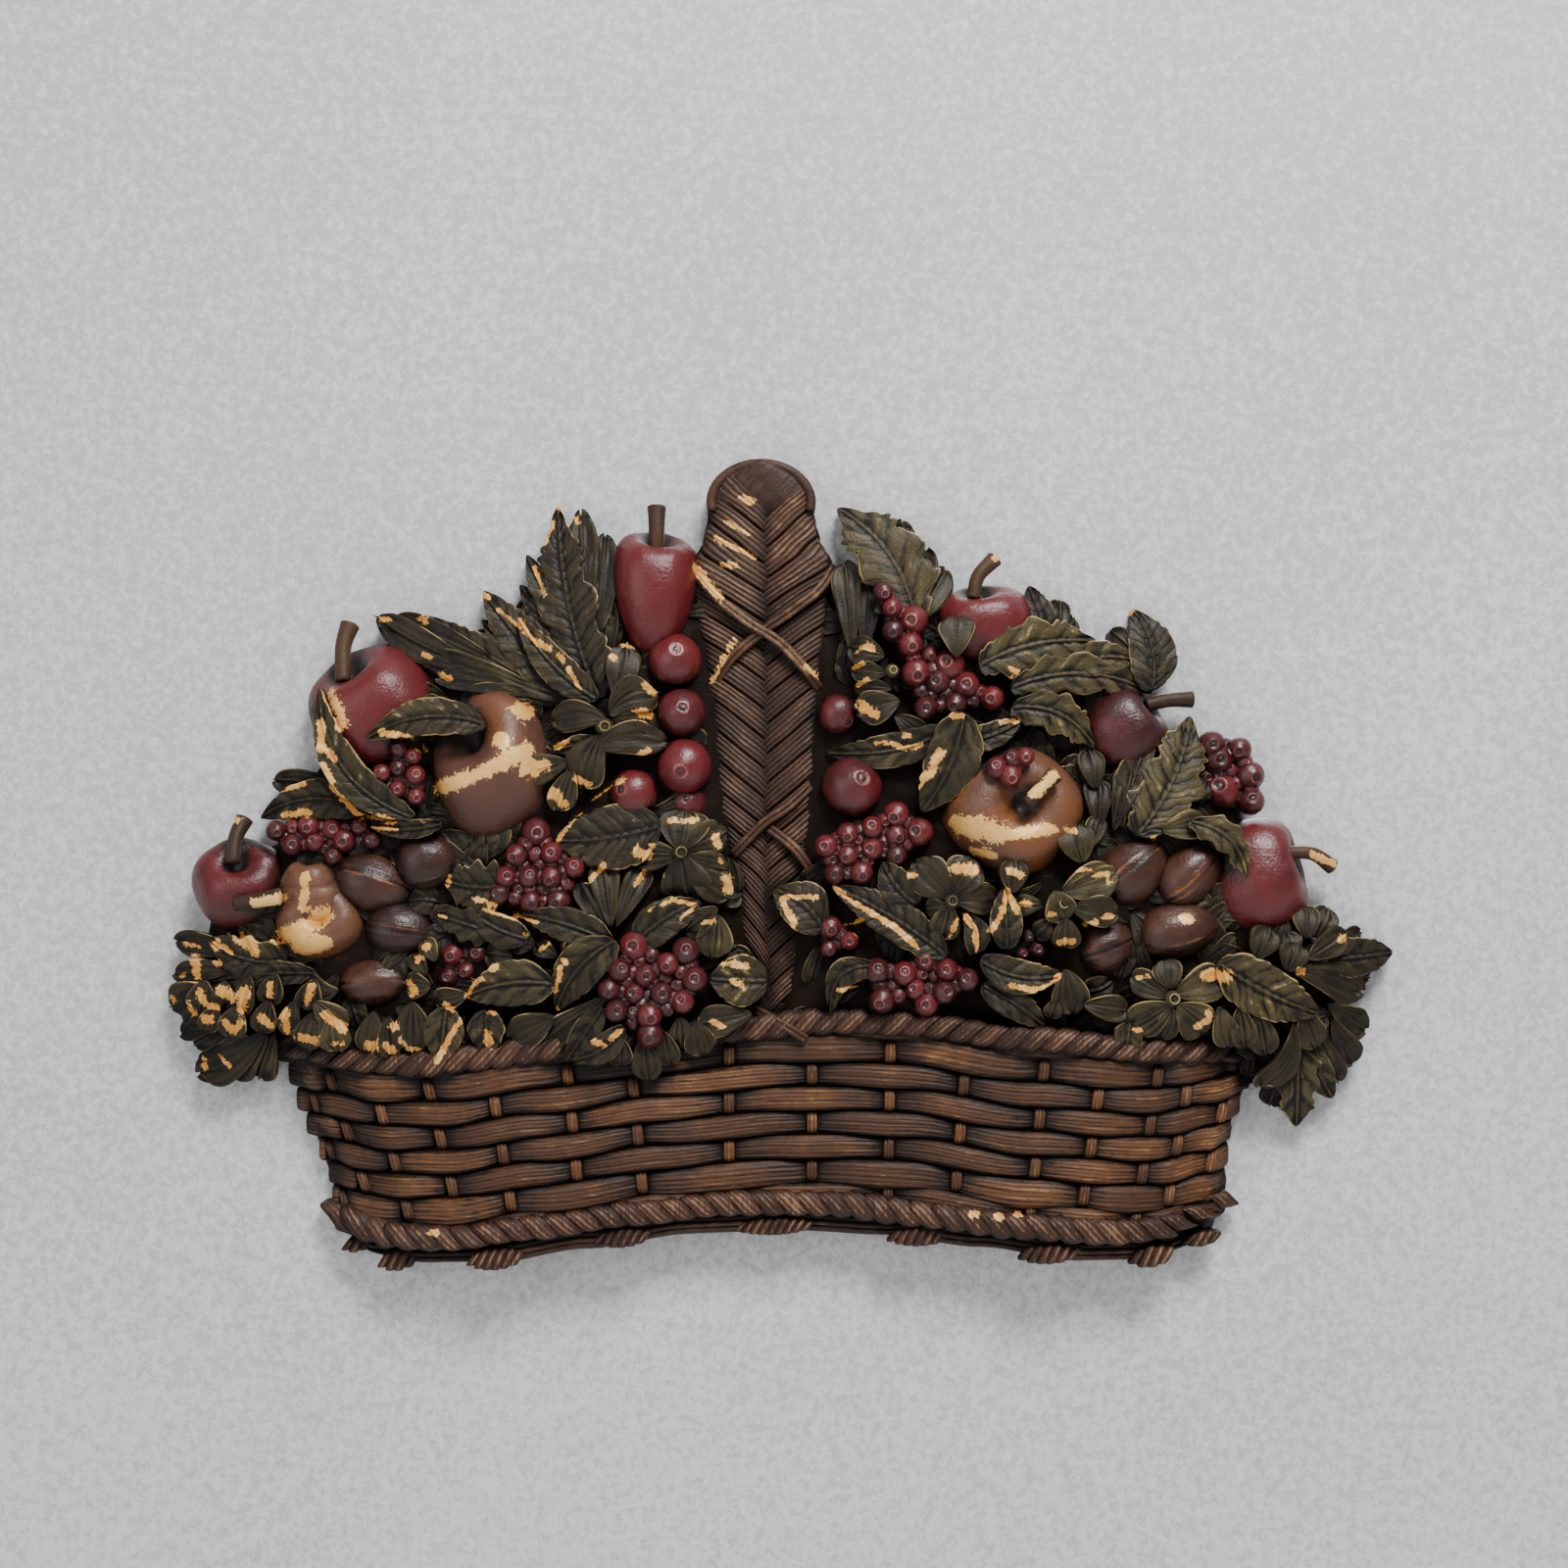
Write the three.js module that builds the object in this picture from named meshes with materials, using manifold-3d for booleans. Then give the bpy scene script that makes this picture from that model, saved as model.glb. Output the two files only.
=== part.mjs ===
// Decorative wall plaque: one moulded relief of a woven basket under a plaited handle,
// heaped with apples, a pear, nuts, berries, blossom and leaves. The back is flat.
//
// Millimetres. +Z is up and +X to the right. The back lies on the plane Y = 0, against the
// wall, and the relief stands out towards -Y. Every table below is written as seen from the
// front: x to the right, z up, and h, the height in front of the wall.

import * as THREE from 'three';
import { mergeVertices } from 'three/addons/utils/BufferGeometryUtils.js';
import { ParametricGeometry } from 'three/addons/geometries/ParametricGeometry.js';
import Module from 'manifold-3d';

const wasm = await Module();
wasm.setup();

// ---------------------------------------------------------------- driving dimensions

const BELOW_WALL = -4;         // how far a form runs behind the back before it is cut flat
const LEAF_DEPTH = 8;          // how far a leaf's keel runs back into the ground
const LEAF_CLEAR = 1.5;        // and stays this clear of the wall
const EDGE_DROP = 1.5;         // a lobed spray falls this far towards the notches of its edge
const NOTCH = 0.6;             // a notch reaches this share of the shorter leaf beside it
const LOBE_END = 0.42;         // half the blunt end of a lobe, as a share of its leaf's width
const OPEN_GAP = 0.72 * Math.PI;   // leaves further apart than this leave the spray open there
const WELD = 1e-4;             // vertices closer than this are one
const BACK_BLOCK = [600, 400, 40]; // what is cut away behind the wall: width, height, depth

const ROW_COUNT = 6;           // woven rows on the basket
const ROW_PITCH = 9.85;        // height of one row
const ROW_TOP = -72.5;         // top of the first row at the middle of the basket
const WEAVE_DIP = 1;           // the weave sinks this far where a strip passes behind a stake
const WEAVE_RISE = 2.4;        // and rises this far where it passes over one
const WEAVE_BED = 2.6;         // depth of the groove between two rows
const STAKE_REACH = 3.2;       // from the middle of a stake to where a strip goes in behind it

const BED_DROP = 2 * WEAVE_BED; // how far the bed lies back behind the ropes
const BELOW_ROWS = 1.7;        // and how many rows' heights it runs on below the last row
const STAKE_TOP = -80;         // z at which the upper x of a stake is given
const STAKE_FOOT = -140;       // and its lower x
const THINNEST = 2;            // the woven face is nowhere thinner than this

const ROPE_WIDTH = 11;
const ROPE_PITCH = 12;         // one strand of the rope to the next
const ROPE_RISE = 5;           // how far a rope stands out from the basket's face
const ROPE_SIDE = 3.5;         // a rope's long edges lie this far back from its face
const ROPE_GROOVE = 2.4;       // depth of the groove between two strands
const ROPE_TURN = THREE.MathUtils.degToRad(38);
const FOOT_WIDTH = 6.6;
const FOOT_SINK = 3;           // the foot lies back this far behind the basket's face
const FOOT_SIDE = 2;           // and its long edges this far behind its middle
const FOOT_STEPS = 16;
const WRAP_SINK = 1;           // how far back the turns that bind the foot lie
const WRAP_END = 2;            // and how far each runs on at both ends
const ROPE_THINNEST = 4;       // ropes and foot are nowhere thinner than this

const PLAIT_PITCH = 12.2;      // one bundle of the plaited handle to the next
const PLAIT_GROOVE = 2.4;      // depth of the groove between two bundles
const PLAIT_DROP = 15;         // the bundles fall this far from the edges to the middle
const CORD_WIDTH = 3.8;
const CAP_LEVELS = [118, 132, 144, 152, 158, 162];   // z of the rings of the handle's smooth cap
const RIM_MIDDLE = [-9.5, 148]; // the rim over the handle's end is an arc about this x, z
const RIM_HALF = [21.3, 16];   // with these half sizes
const RIM_RISE = 3;            // and stands this far out from the handle's edge
const RIM_WIDTH = 4.2;
const RIM_STEPS = 8;
const RIM_OVER = 0.06 * Math.PI;   // it runs this far past a half turn at both ends

const BODY_DEPTH = 0.42;       // half the depth of a large fruit, as a share of width and height
const FRUIT_SIDES = 9;
const NUT_SIDES = 5;
const CHERRY_SIDES = 7;
const BERRY_SIDES = 5;

// Each station list is [place, value]; between its stations a value eases from one to the next.
const WEAVE_SAG = [
  [-210, -11], [-190, -12.5], [-165, -15.5], [-140, -15], [-100, -9.6], [-50, -3.6], [0, 0],
  [25, 0.3], [50, -0.6], [100, -7], [150, -10], [175, -7], [192, -3],
];
const BASKET_LEFT = [[-141, -186], [-130, -186], [-117, -191], [-103, -197.5], [-88, -204], [-74, -210]];
const BASKET_RIGHT = [[-141, 182], [-120, 183], [-106, 187.5], [-94, 192.5], [-74, 190]];
const BASKET_DEPTH = [
  [-1, 5], [-0.94, 13], [-0.8, 21], [-0.62, 26], [-0.38, 23], [-0.13, 17.5], [0.06, 16],
  [0.25, 18], [0.45, 23], [0.66, 26], [0.84, 21], [0.95, 13], [1, 6],
];
const STAKES = [               // x at the top row and x at the bottom row
  [-199, -181], [-189, -170], [-170, -154], [-147, -133], [-120, -110.5], [-88.5, -83],
  [-62.5, -57], [-22.5, -22.5], [11.5, 11.5], [43.5, 42.5], [74, 69.5], [106, 100.5],
  [129.5, 121], [153.5, 144], [166.5, 156.5], [185, 172.5],
];
const UPPER_ROPE = [
  [-205, -76], [-170, -80.5], [-150, -82], [-130, -79], [-90, -75], [-50, -71], [-12, -67.5],
  [20, -65], [50, -66], [100, -71.5], [150, -76], [186, -77],
];
const LOWER_ROPE = [
  [-183, -146], [-160, -152], [-140, -152.5], [-100, -147.5], [-60, -142.5], [-20, -139.2],
  [20, -139.5], [60, -143.5], [100, -147.5], [140, -150], [158, -148], [170, -144], [179, -138],
];
const FOOT_BAND = [
  [-179, -158], [-155, -160.5], [-120, -159], [-80, -153.5], [-40, -148.5], [0, -147.5],
  [40, -149], [80, -153], [120, -158], [145, -158.7], [177, -154.5],
];
const FOOT_WRAPS = [           // x, z, width, height of each turn that binds the foot
  [-176, -158, 8, 7], [-158, -163, 14, 11], [-117, -160, 20, 11], [-66, -152, 20, 10],
  [-4, -148.5, 30, 9], [56, -152, 24, 10], [108, -158, 22, 10], [150, -160, 15, 11],
];
const HANDLE_LEFT = [
  [-60, -13], [-40, -18], [-10, -21], [10, -27], [30, -29.5], [60, -30], [80, -33], [106, -37],
  [118, -39], [124, -38], [132, -33.5], [143, -31.5], [151, -32.6], [158, -28.5], [163, -20],
];
const HANDLE_RIGHT = [
  [-60, 8], [-40, 11], [-10, 13], [10, 14], [60, 14], [80, 15.3], [106, 18], [118, 21],
  [124, 20], [132, 15.2], [143, 12.5], [151, 13.6], [158, 9.5], [163, 1],
];
const HANDLE_FOOT = -62;
const HANDLE_FACE = 15;        // height of the plaited face at its middle
const HANDLE_EDGE = 10;
const HANDLE_MIDDLE = -7;      // x of the line on which the bundles meet
const PLAIT_TOP = 138;         // the plait ends here under the smooth cap
const CORDS = [                // points x, z, h along each binding cord
  [[-38, 121, 12], [-28, 109, 18], [-14, 97.7, 20], [-2.6, 90.6, 20], [7.4, 80.6, 18], [15, 71, 13]],
  [[21, 122, 12], [14.6, 112, 17], [4, 103.4, 18], [-8, 95, 18], [-21, 84, 18], [-31, 70, 13]],
  [[14.5, 34.5, 14], [2, 23, 18], [-8.6, 15.7, 19], [-21, 3, 17]],
  [[-6, 14, 17], [4.3, 5.7, 18], [12, -4.3, 17], [15, -9, 14]],
  [[-15, -59, 14], [0, -66.5, 17.5], [9, -72, 17.5]],
];

// Apples, gourds and other large fruit: x, z, half width, half height, front h, then the
// direction in which the stem end looks: right, up, out.
const FRUIT = [
  [-53.5, 110, 17.5, 27, 27, 0.1, 0.95, 0.3],
  [-168, 61, 28.5, 29, 31, -0.42, 0.72, 0.45],
  [-224, -10, 20.5, 20, 27, 0.05, 0.62, 0.75],
  [83, 97, 20.5, 17.5, 26, -0.15, 0.9, 0.4],
  [140, 54, 18.5, 18.5, 26, 0.7, 0.62, 0.3],
  [194, -8, 20.5, 26.5, 29, 0.85, 0.45, 0.25],
  [-119.5, 38.5, 26, 33, 34, -0.35, 0.55, 0.75],
  [93.5, 20.5, 31, 29, 34, 0.12, 0.12, 0.98],
  [-190, -24, 19, 16.5, 30, 0.1, 0.2, 0.97],
  [-194, -9, 13.5, 12.5, 27, 0, 0.9, 0.4],
];
const STEMS = [                // points x, z, h along each stalk, then its width
  [[[-52.4, 128, 12], [-52.3, 146, 13]], 6.4],
  [[[-180, 76, 16], [-180.5, 88, 14], [-178.3, 97.5, 13]], 6.6],
  [[[-224, 1, 24], [-223.5, 10, 21], [-221, 17.6, 17]], 6],
  [[[77.5, 109, 16], [79.5, 117, 16], [86.5, 124.5, 15]], 5.6],
  [[[150, 65.5, 12], [158, 66.5, 12], [168, 67, 11]], 5.8],
  [[[203, 3.6, 14], [216, 3.6, 15], [225.5, -2, 13]], 5.4],
  [[[-222, -16.4, 28], [-203, -13.4, 30]], 6],
  [[[97.5, 24, 35], [109, 36, 33]], 5.8],
];
// Nuts: x, z, half length, half width, turn in degrees, front h.
const NUTS = [
  [-166, -9, 17, 13, -18, 28], [-146, 0.5, 13, 13, 10, 28], [-157, -27.5, 15, 11.5, -8, 27],
  [-167, -49.5, 15, 10.5, 4, 26], [142.5, -3.5, 16, 13, 40, 29], [166, -4.5, 16, 11, 44, 28],
  [132, -34.5, 13, 13, 20, 27], [161, -28, 17, 12.5, 12, 29],
];
// Cherries: x, z, radius, front h.
const CHERRIES = [
  [-44.9, 82.7, 11.2, 25], [-42.2, 61.1, 10.3, 25], [-40.9, 39.4, 11.5, 28],
  [-61.3, 28.3, 10.3, 27], [-40, 24, 8.5, 20], [22, 61, 8.6, 22], [27.6, 30.5, 13, 28],
];
// Clusters of small berries: the front h of the cluster, then x, z, radius of each berry.
const BERRIES = [
  [30, [[-156.7, 38.4, 3.8], [-163, 36.3, 3.8], [-149.6, 35.6, 4], [-156, 46.3, 4]]],
  [25, [[-200.6, 7.2, 4.5], [-193.9, 14.7, 4.5], [-184.6, 13.3, 4.5], [-179.6, 9, 5]]],
  [28, [[-101, 12.4, 5.8], [-103.9, -6, 4.7], [-103.2, -16, 4.7], [-92, -15.8, 5.3]]],
  [32, [[-60.7, -33.9, 6.2], [-40, -35.7, 5.6], [-66.4, -43.2, 4.9], [-36.4, -47, 5.2],
    [-54.6, -61.4, 5.4], [-54.3, -69.3, 5.5]]],
  [25, [[-135.4, -37.6, 4.9], [-124.6, -36.9, 4.7], [-136.8, -46.9, 4.3], [-129.3, -44.4, 4]]],
  [30, [[37.7, -44, 5.2], [48.8, -45, 4.9], [57.4, -39.4, 5], [39.9, -55.5, 5.2]]],
  [27, [[46, 19.6, 5.5], [26, 11.7, 4.7], [55, 12.4, 5.8], [35.7, 5.6, 4.9], [17.5, 6.7, 4.7],
    [31.4, -4, 4.8]]],
  [25, [[53, 98.9, 6], [51.4, 88.9, 5], [53.9, 77.4, 6], [67.4, 80.3, 6.5], [62.8, 73.9, 5.3],
    [74.6, 72, 5.7]]],
  [19, [[175.6, 48.4, 5.5], [178.4, 42, 6.5], [191.3, 35.6, 6], [180.6, 29, 8]]],
  [26, [[18.6, -26.4, 4.9], [18.2, -35, 3.6], [26.4, -32, 3.9]]],
  [24, [[99.5, -29.8, 2.8], [97, -37.3, 2.9], [103, -35.3, 3.8]]],
  [37, [[85.7, 38.5, 4.4], [91, 35.5, 4.6], [92, 42, 4], [97, 43, 3.6]]],
];

// Leaves and petals, a spray to each inner list: foot x, foot z, tip x, tip z, width, sideways
// bow of the midrib to the left of its run, h at the foot, h at the tip, form.
const SPRAYS = [
  // the spray at the top left
  [[-76, 66, -93.5, 147, 24, 4, 19, 9, 'oak']],
  [[-83, 92, -106.5, 127, 12, 2, 15, 9, 'blade'], [-84, 88, -109.5, 114.5, 11, 1, 15, 9, 'blade']],
  [[-81, 98, -84, 142.5, 13, 0, 16, 9, 'petal'], [-77, 92, -74, 133.5, 14, 0, 16, 10, 'petal'],
    [-74, 76, -73, 106, 10, 0, 16, 13, 'petal']],
  [[-80, 68, -124.5, 112, 19, 3, 18, 10, 'blade'], [-92, 78, -125, 100, 12, 2, 16, 10, 'blade'],
    [-84, 66, -132, 92, 15, 2, 18, 13, 'petal']],
  [[-88, 66, -149, 101.5, 16, 2, 17, 11, 'blade'], [-100, 70, -148, 84, 12, 0, 17, 14, 'petal'],
    [-100, 68, -141, 75.5, 10, -2, 17, 15, 'petal'], [-96, 66, -131, 67.5, 9, -2, 17, 16, 'petal']],
  [[-118, 82, -158, 100, 10, 0, 15, 11, 'petal'], [-124, 80, -167, 100.5, 13, 3, 15, 11, 'petal']],
  [[-76, 66, -109, 100.5, 13, 3, 23, 17, 'blade']],
  // blossom beside the handle, left
  [[-68, 66, -64.5, 89, 13, 0, 22, 18, 'petal']],
  [[-71, 60, -52, 69, 15, 4, 25, 20, 'petal'], [-72, 58, -94, 58, 12, -2, 26, 22, 'petal']],
  [[-74, 52, -82, 31, 16, -2, 27, 25, 'petal'], [-78, 46, -49, 49.5, 13, 3, 27, 24, 'petal']],
  [[-88, 41, -107, 36, 12, 0, 26, 24, 'petal']],
  // leaves over the large apple and beside it, left
  [[-158, 19, -186, 71, 16, -9, 27, 34, 'blade']], [[-120, 56, -169, 50, 14, -6, 34, 31, 'blade']],
  [[-180, 31, -209.5, 33.5, 10, 0, 14, 11, 'petal']],
  [[-170, 22, -215.5, 18, 15, -6, 22, 15, 'blade']], [[-138, 16, -169, 15, 7, 2, 28, 24, 'blade']],
  // the hanging sprays at the left end
  [[-224, -36, -250.5, -33, 10, 0, 17, 11, 'petal'], [-224, -43, -251, -46, 9, 0, 18, 12, 'petal']],
  [[-202, -40, -236, -31, 19, 4, 22, 17, 'oak']], [[-190, -45, -243, -51, 10, -2, 24, 15, 'blade']],
  [[-228, -49, -253, -60, 14, 0, 18, 11, 'petal']],
  [[-181, -52, -197, -46, 14, 5, 25, 21, 'petal']], [[-221, -60, -249, -71, 9, 0, 15, 10, 'petal']],
  [[-211, -68, -241, -87, 18, 3, 18, 10, 'fan'], [-211, -70, -227, -89, 14, 0, 18, 11, 'fan'],
    [-208, -70, -216, -89, 13, 0, 18, 11, 'fan']],
  [[-150, -56, -150, -76.5, 15, 0, 30, 29, 'petal']],
  // between the nuts and the big cluster, left
  [[-136, -58, -139, -80.5, 15, 0, 31, 29, 'blade']],
  [[-120, -59, -120, -77, 14, 0, 31, 30, 'blade']],
  [[-93, -49, -129, -54, 17, -3, 30, 28, 'blade']],
  [[-89, -60, -110.5, -71, 13, 0, 30, 29, 'petal']],
  [[-70, -53, -96, -71, 12, 0, 30, 27, 'fan'], [-73, -58, -88.5, -80.5, 10, 0, 31, 28, 'blade']],
  [[-64, -66, -87, -79.5, 10, 3, 32, 30, 'blade']], [[-111, -9, -139, -7, 21, 2, 25, 22, 'oak']],
  [[-116, -29, -142.5, -21, 14, 0, 25, 22, 'oak']],
  [[-103, -31, -129.5, -18, 12, 2, 27, 24, 'blade']],
  [[-69, -33, -107, -21, 13, -2, 28, 25, 'blade']],
  [[-68, -31, -92.5, -60, 17, -4, 31, 26, 'blade']], [[-50, 15, -93.5, 9, 24, 2, 24, 22, 'blade']],
  [[-70, -26, -74, 0.5, 14, 0, 27, 22, 'fan'], [-68, -26, -57.5, -3, 12, 0, 27, 22, 'fan']],
  [[-61, -33, -33.5, -15.5, 15, 2, 29, 25, 'blade']],
  // blossom beside the handle, lower left
  [[-42, 5, -40, 20.5, 19, 0, 24, 21, 'petal'], [-42, 3, -39, -13.5, 19, 0, 25, 24, 'petal'],
    [-43, 3, -60.5, 3, 12, 0, 24, 22, 'petal'], [-41, 5, -24, 13, 13, 0, 24, 21, 'petal'],
    [-41, 2, -23.5, -3, 11, 0, 25, 22, 'petal'], [-40, -2, -22.5, -14, 12, 0, 24, 22, 'petal']],
  [[-27, -21, -29, -38.5, 14, 0, 26, 25, 'petal']],
  [[-4, -48, -30.5, -47, 19, 0, 20, 25, 'blade']],
  [[-13, -61, -34.5, -65.5, 12, 0, 26, 28, 'petal']],
  // the spray at the top right
  [[54, 98, 21, 146, 20, -9, 19, 10, 'oak']],
  [[48, 104, 49, 139.5, 13, 0, 17, 11, 'petal'], [52, 100, 58.5, 128, 12, 0, 17, 11, 'petal'],
    [54, 98, 66.5, 120, 13, 0, 17, 11, 'petal']],
  [[46, 112, 30, 136, 9, 2, 17, 11, 'blade'], [50, 106, 36, 124, 9, 0, 17, 12, 'petal']],
  [[28, 84, 25, 122, 13, 0, 18, 13, 'fan'], [33, 84, 35, 115, 13, 0, 18, 14, 'fan']],
  [[70, 83, 70, 99.5, 16, 0, 27, 26, 'fan']], [[109, 90, 101, 114, 12, 0, 15, 10, 'blade']],
  [[79, 80, 128.5, 90.5, 21, 4, 25, 16, 'oak']], [[92, 71, 152, 69.5, 17, 7, 24, 12, 'oak']],
  [[116, 79, 145, 83, 13, 3, 19, 13, 'blade']], [[151, 70, 144, 104.5, 18, -4, 15, 9, 'blade']],
  [[92, 63, 127, 47, 17, 6, 26, 21, 'oak']], [[71, 49, 97, 58.5, 10, -2, 28, 25, 'blade']],
  // around the right blossom and the gourd
  [[73, 61, 56, 20.5, 20, 3, 29, 24, 'blade']], [[68, 54, 17, 45, 13, 4, 25, 17, 'blade']],
  [[47, 66, 30, 61.5, 13, 0, 24, 22, 'petal']], [[142, 13, 168, 60, 17, -3, 26, 15, 'oak']],
  [[138, 14, 151, 54, 14, 2, 24, 18, 'blade'], [134, 13, 141, 37.5, 13, 0, 24, 22, 'fan'],
    [128, 12, 128, 33, 13, 0, 23, 21, 'fan']], [[153, 13, 171, 17, 11, 0, 27, 26, 'petal']],
  [[164, 17, 187, -6, 13, 6, 29, 30, 'oak']], [[121, 0, 117, 15.5, 14, 0, 27, 26, 'petal']],
  // the blossoms along the rim, right
  [[16, -27, -4.5, -11, 18, -3, 25, 22, 'blade']], [[66, -38, 19.5, -9.5, 15, -2, 28, 24, 'blade']],
  [[40, -42, 19, -62, 11, -9, 27, 26, 'blade']], [[54, -17, 40, 0.5, 14, 2, 27, 24, 'blade']],
  [[67, -14, 53.5, 0, 16, 0, 29, 27, 'petal'], [68, -13, 76, 1.5, 15, 0, 29, 28, 'petal'],
    [69, -15, 86.5, -14, 12, 0, 29, 27, 'petal']], [[90, -35, 89, -9.5, 12, 0, 31, 30, 'blade']],
  [[79, -39, 113.5, -45, 13, -4, 30, 28, 'blade']], [[80, -49, 106, -66.5, 12, 1, 29, 27, 'blade']],
  [[112, -12, 134, -4, 14, 0, 30, 29, 'petal'], [116, -18, 134.5, -20, 12, 0, 30, 30, 'petal']],
  [[114, -43, 117, -60.5, 14, 0, 28, 27, 'petal']],
  [[158, -53, 178.5, -45.5, 14, 0, 30, 29, 'petal'], [159, -57, 171, -68, 15, 0, 31, 29, 'petal'],
    [156, -57, 140, -67, 14, 0, 30, 28, 'petal']],
  // the hanging spray at the right end
  [[175, -40, 218, -61.5, 20, -2, 31, 24, 'blade']], [[209, -38, 229, -29, 11, 0, 20, 19, 'petal']],
  [[222, -40, 252, -37.5, 15, 0, 19, 10, 'blade'], [206, -44, 236.5, -53, 18, 2, 24, 15, 'fan']],
  [[207, -64, 195, -91, 13, 5, 20, 18, 'fan']],
  [[222, -58, 239.5, -69, 14, 0, 18, 12, 'fan'], [224, -64, 235, -82.5, 13, 0, 17, 11, 'fan'],
    [216, -66, 228, -90, 13, 0, 18, 12, 'fan']],
  [[212, -76, 227, -98, 12, 0, 17, 10, 'blade'], [210, -74, 212, -110, 18, 0, 18, 9, 'oak'],
    [207, -78, 201, -100, 12, 0, 17, 10, 'fan']],
];

// The ground that carries the fruit and leaves swells from its edge to a crest, once to each
// side of the handle. Each outline stays inside the edge of the leaves.
const GROUND_LEFT = [
  [-8, -74], [-150, -84], [-204, -82], [-240, -60], [-238, -22], [-203, 14], [-188, 60],
  [-146, 92], [-92, 124], [-22, 120],
];
const GROUND_RIGHT = [
  [-8, -70], [2, 100], [50, 116], [118, 94], [148, 72], [192, 37], [206, -8], [230, -44],
  [224, -84], [200, -92], [140, -76],
];
const GROUND_MIDDLES = [[-112, -20], [102, -20]];
const GROUND_SWELL = [[0.98, 0.5], [0.76, 0.95]];   // share of reach, share of crest
const CREST_LOW = 27;          // crest of the ground along the basket's rim
const CREST_HIGH = 15;         // and at the top of the heap
const CREST_FROM = -80;        // z at which the crest has its first height
const CREST_TO = 130;          // and its second

// ---------------------------------------------------------------- helpers

// The value of a station list at a place, easing between its stations.
function along(stations, place) {
  const last = stations.length - 1;
  if (place <= stations[0][0]) return stations[0][1];
  if (place >= stations[last][0]) return stations[last][1];
  const next = stations.findIndex(([at]) => at > place);
  const [from, low] = stations[next - 1];
  const [to, high] = stations[next];
  return low + (high - low) * THREE.MathUtils.smoothstep(place, from, to);
}

// A closed geometry as a solid: its seams are welded, collapsed faces are dropped, and its
// faces are turned to point outwards.
function solid(geometry) {
  const bare = geometry.clone();
  bare.deleteAttribute('normal');
  bare.deleteAttribute('uv');
  const welded = mergeVertices(bare, WELD);
  const corner = welded.index.array;
  const place = welded.attributes.position;
  const faces = [];
  for (let i = 0; i < corner.length; i += 3) {
    const face = [corner[i], corner[i + 1], corner[i + 2]];
    if (new Set(face).size === 3) faces.push(face);
  }
  const [a, b, c] = [new THREE.Vector3(), new THREE.Vector3(), new THREE.Vector3()];
  let volume = 0;
  for (const face of faces) {
    a.fromBufferAttribute(place, face[0]);
    b.fromBufferAttribute(place, face[1]);
    c.fromBufferAttribute(place, face[2]);
    volume += a.dot(b.cross(c));
  }
  if (volume < 0) faces.forEach((face) => face.reverse());
  return new wasm.Manifold(new wasm.Mesh({
    numProp: 3,
    vertProperties: new Float32Array(place.array),
    triVerts: new Uint32Array(faces.flat()),
  }));
}

// A closed skin lofted from a start point through rings of corners to an end point.
function loft(start, rings, end) {
  const sides = rings[0].length;
  const rows = [Array(sides).fill(start), ...rings, Array(sides).fill(end)];
  const steps = rows.length - 1;
  const point = (u, v, target) => {
    target.copy(rows[Math.round(v * steps)][Math.round(u * sides) % sides]);
  };
  return solid(new ParametricGeometry(point, sides, steps));
}

// The middle of a ring, which closes the end of a form that is cut off square.
function middle(ring) {
  return ring.reduce((sum, corner) => sum.add(corner), new THREE.Vector3()).divideScalar(ring.length);
}

// A square-ended form through rings of corners.
function prism(rings) {
  return loft(middle(rings[0]), rings, middle(rings[rings.length - 1]));
}

// ---------------------------------------------------------------- leaves, petals and strands

// Each form lists [share of the length, share of the half width] from foot to tip, and how far
// its midrib stands above its edges.
const FORMS = {
  blade: { outline: [[0.3, 0.9], [0.7, 0.8]], crown: 2.2 },
  petal: { outline: [[0.74, 1]], crown: 1.6 },
  fan: { outline: [[0.88, 1]], crown: 1.8 },
  oak: { outline: [[0.36, 1], [0.56, 0.66], [0.78, 0.74]], crown: 2 },
};

// A leaf from its foot to its tip: a ridged blade whose sides fall back to one keel.
function leaf([footX, footZ, tipX, tipZ, width, bow, footH, tipH, form]) {
  const { outline, crown } = FORMS[form];
  const run = new THREE.Vector2(tipX - footX, tipZ - footZ);
  const side = new THREE.Vector2(-run.y, run.x).normalize();
  const spine = (t, offset, h) => {
    const shift = 4 * bow * t * (1 - t) + offset;
    return new THREE.Vector3(footX + run.x * t + side.x * shift, footZ + run.y * t + side.y * shift, h);
  };
  const rings = outline.map(([t, share]) => {
    const h = footH + (tipH - footH) * t;
    const reach = share * width / 2;
    return [
      spine(t, reach, h - crown / 2), spine(t, 0, h + crown / 2),
      spine(t, -reach, h - crown / 2), spine(t, 0, Math.max(h - LEAF_DEPTH, LEAF_CLEAR)),
    ];
  });
  return loft(spine(0, 0, footH - crown), rings, spine(1, 0, tipH - crown));
}

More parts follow.
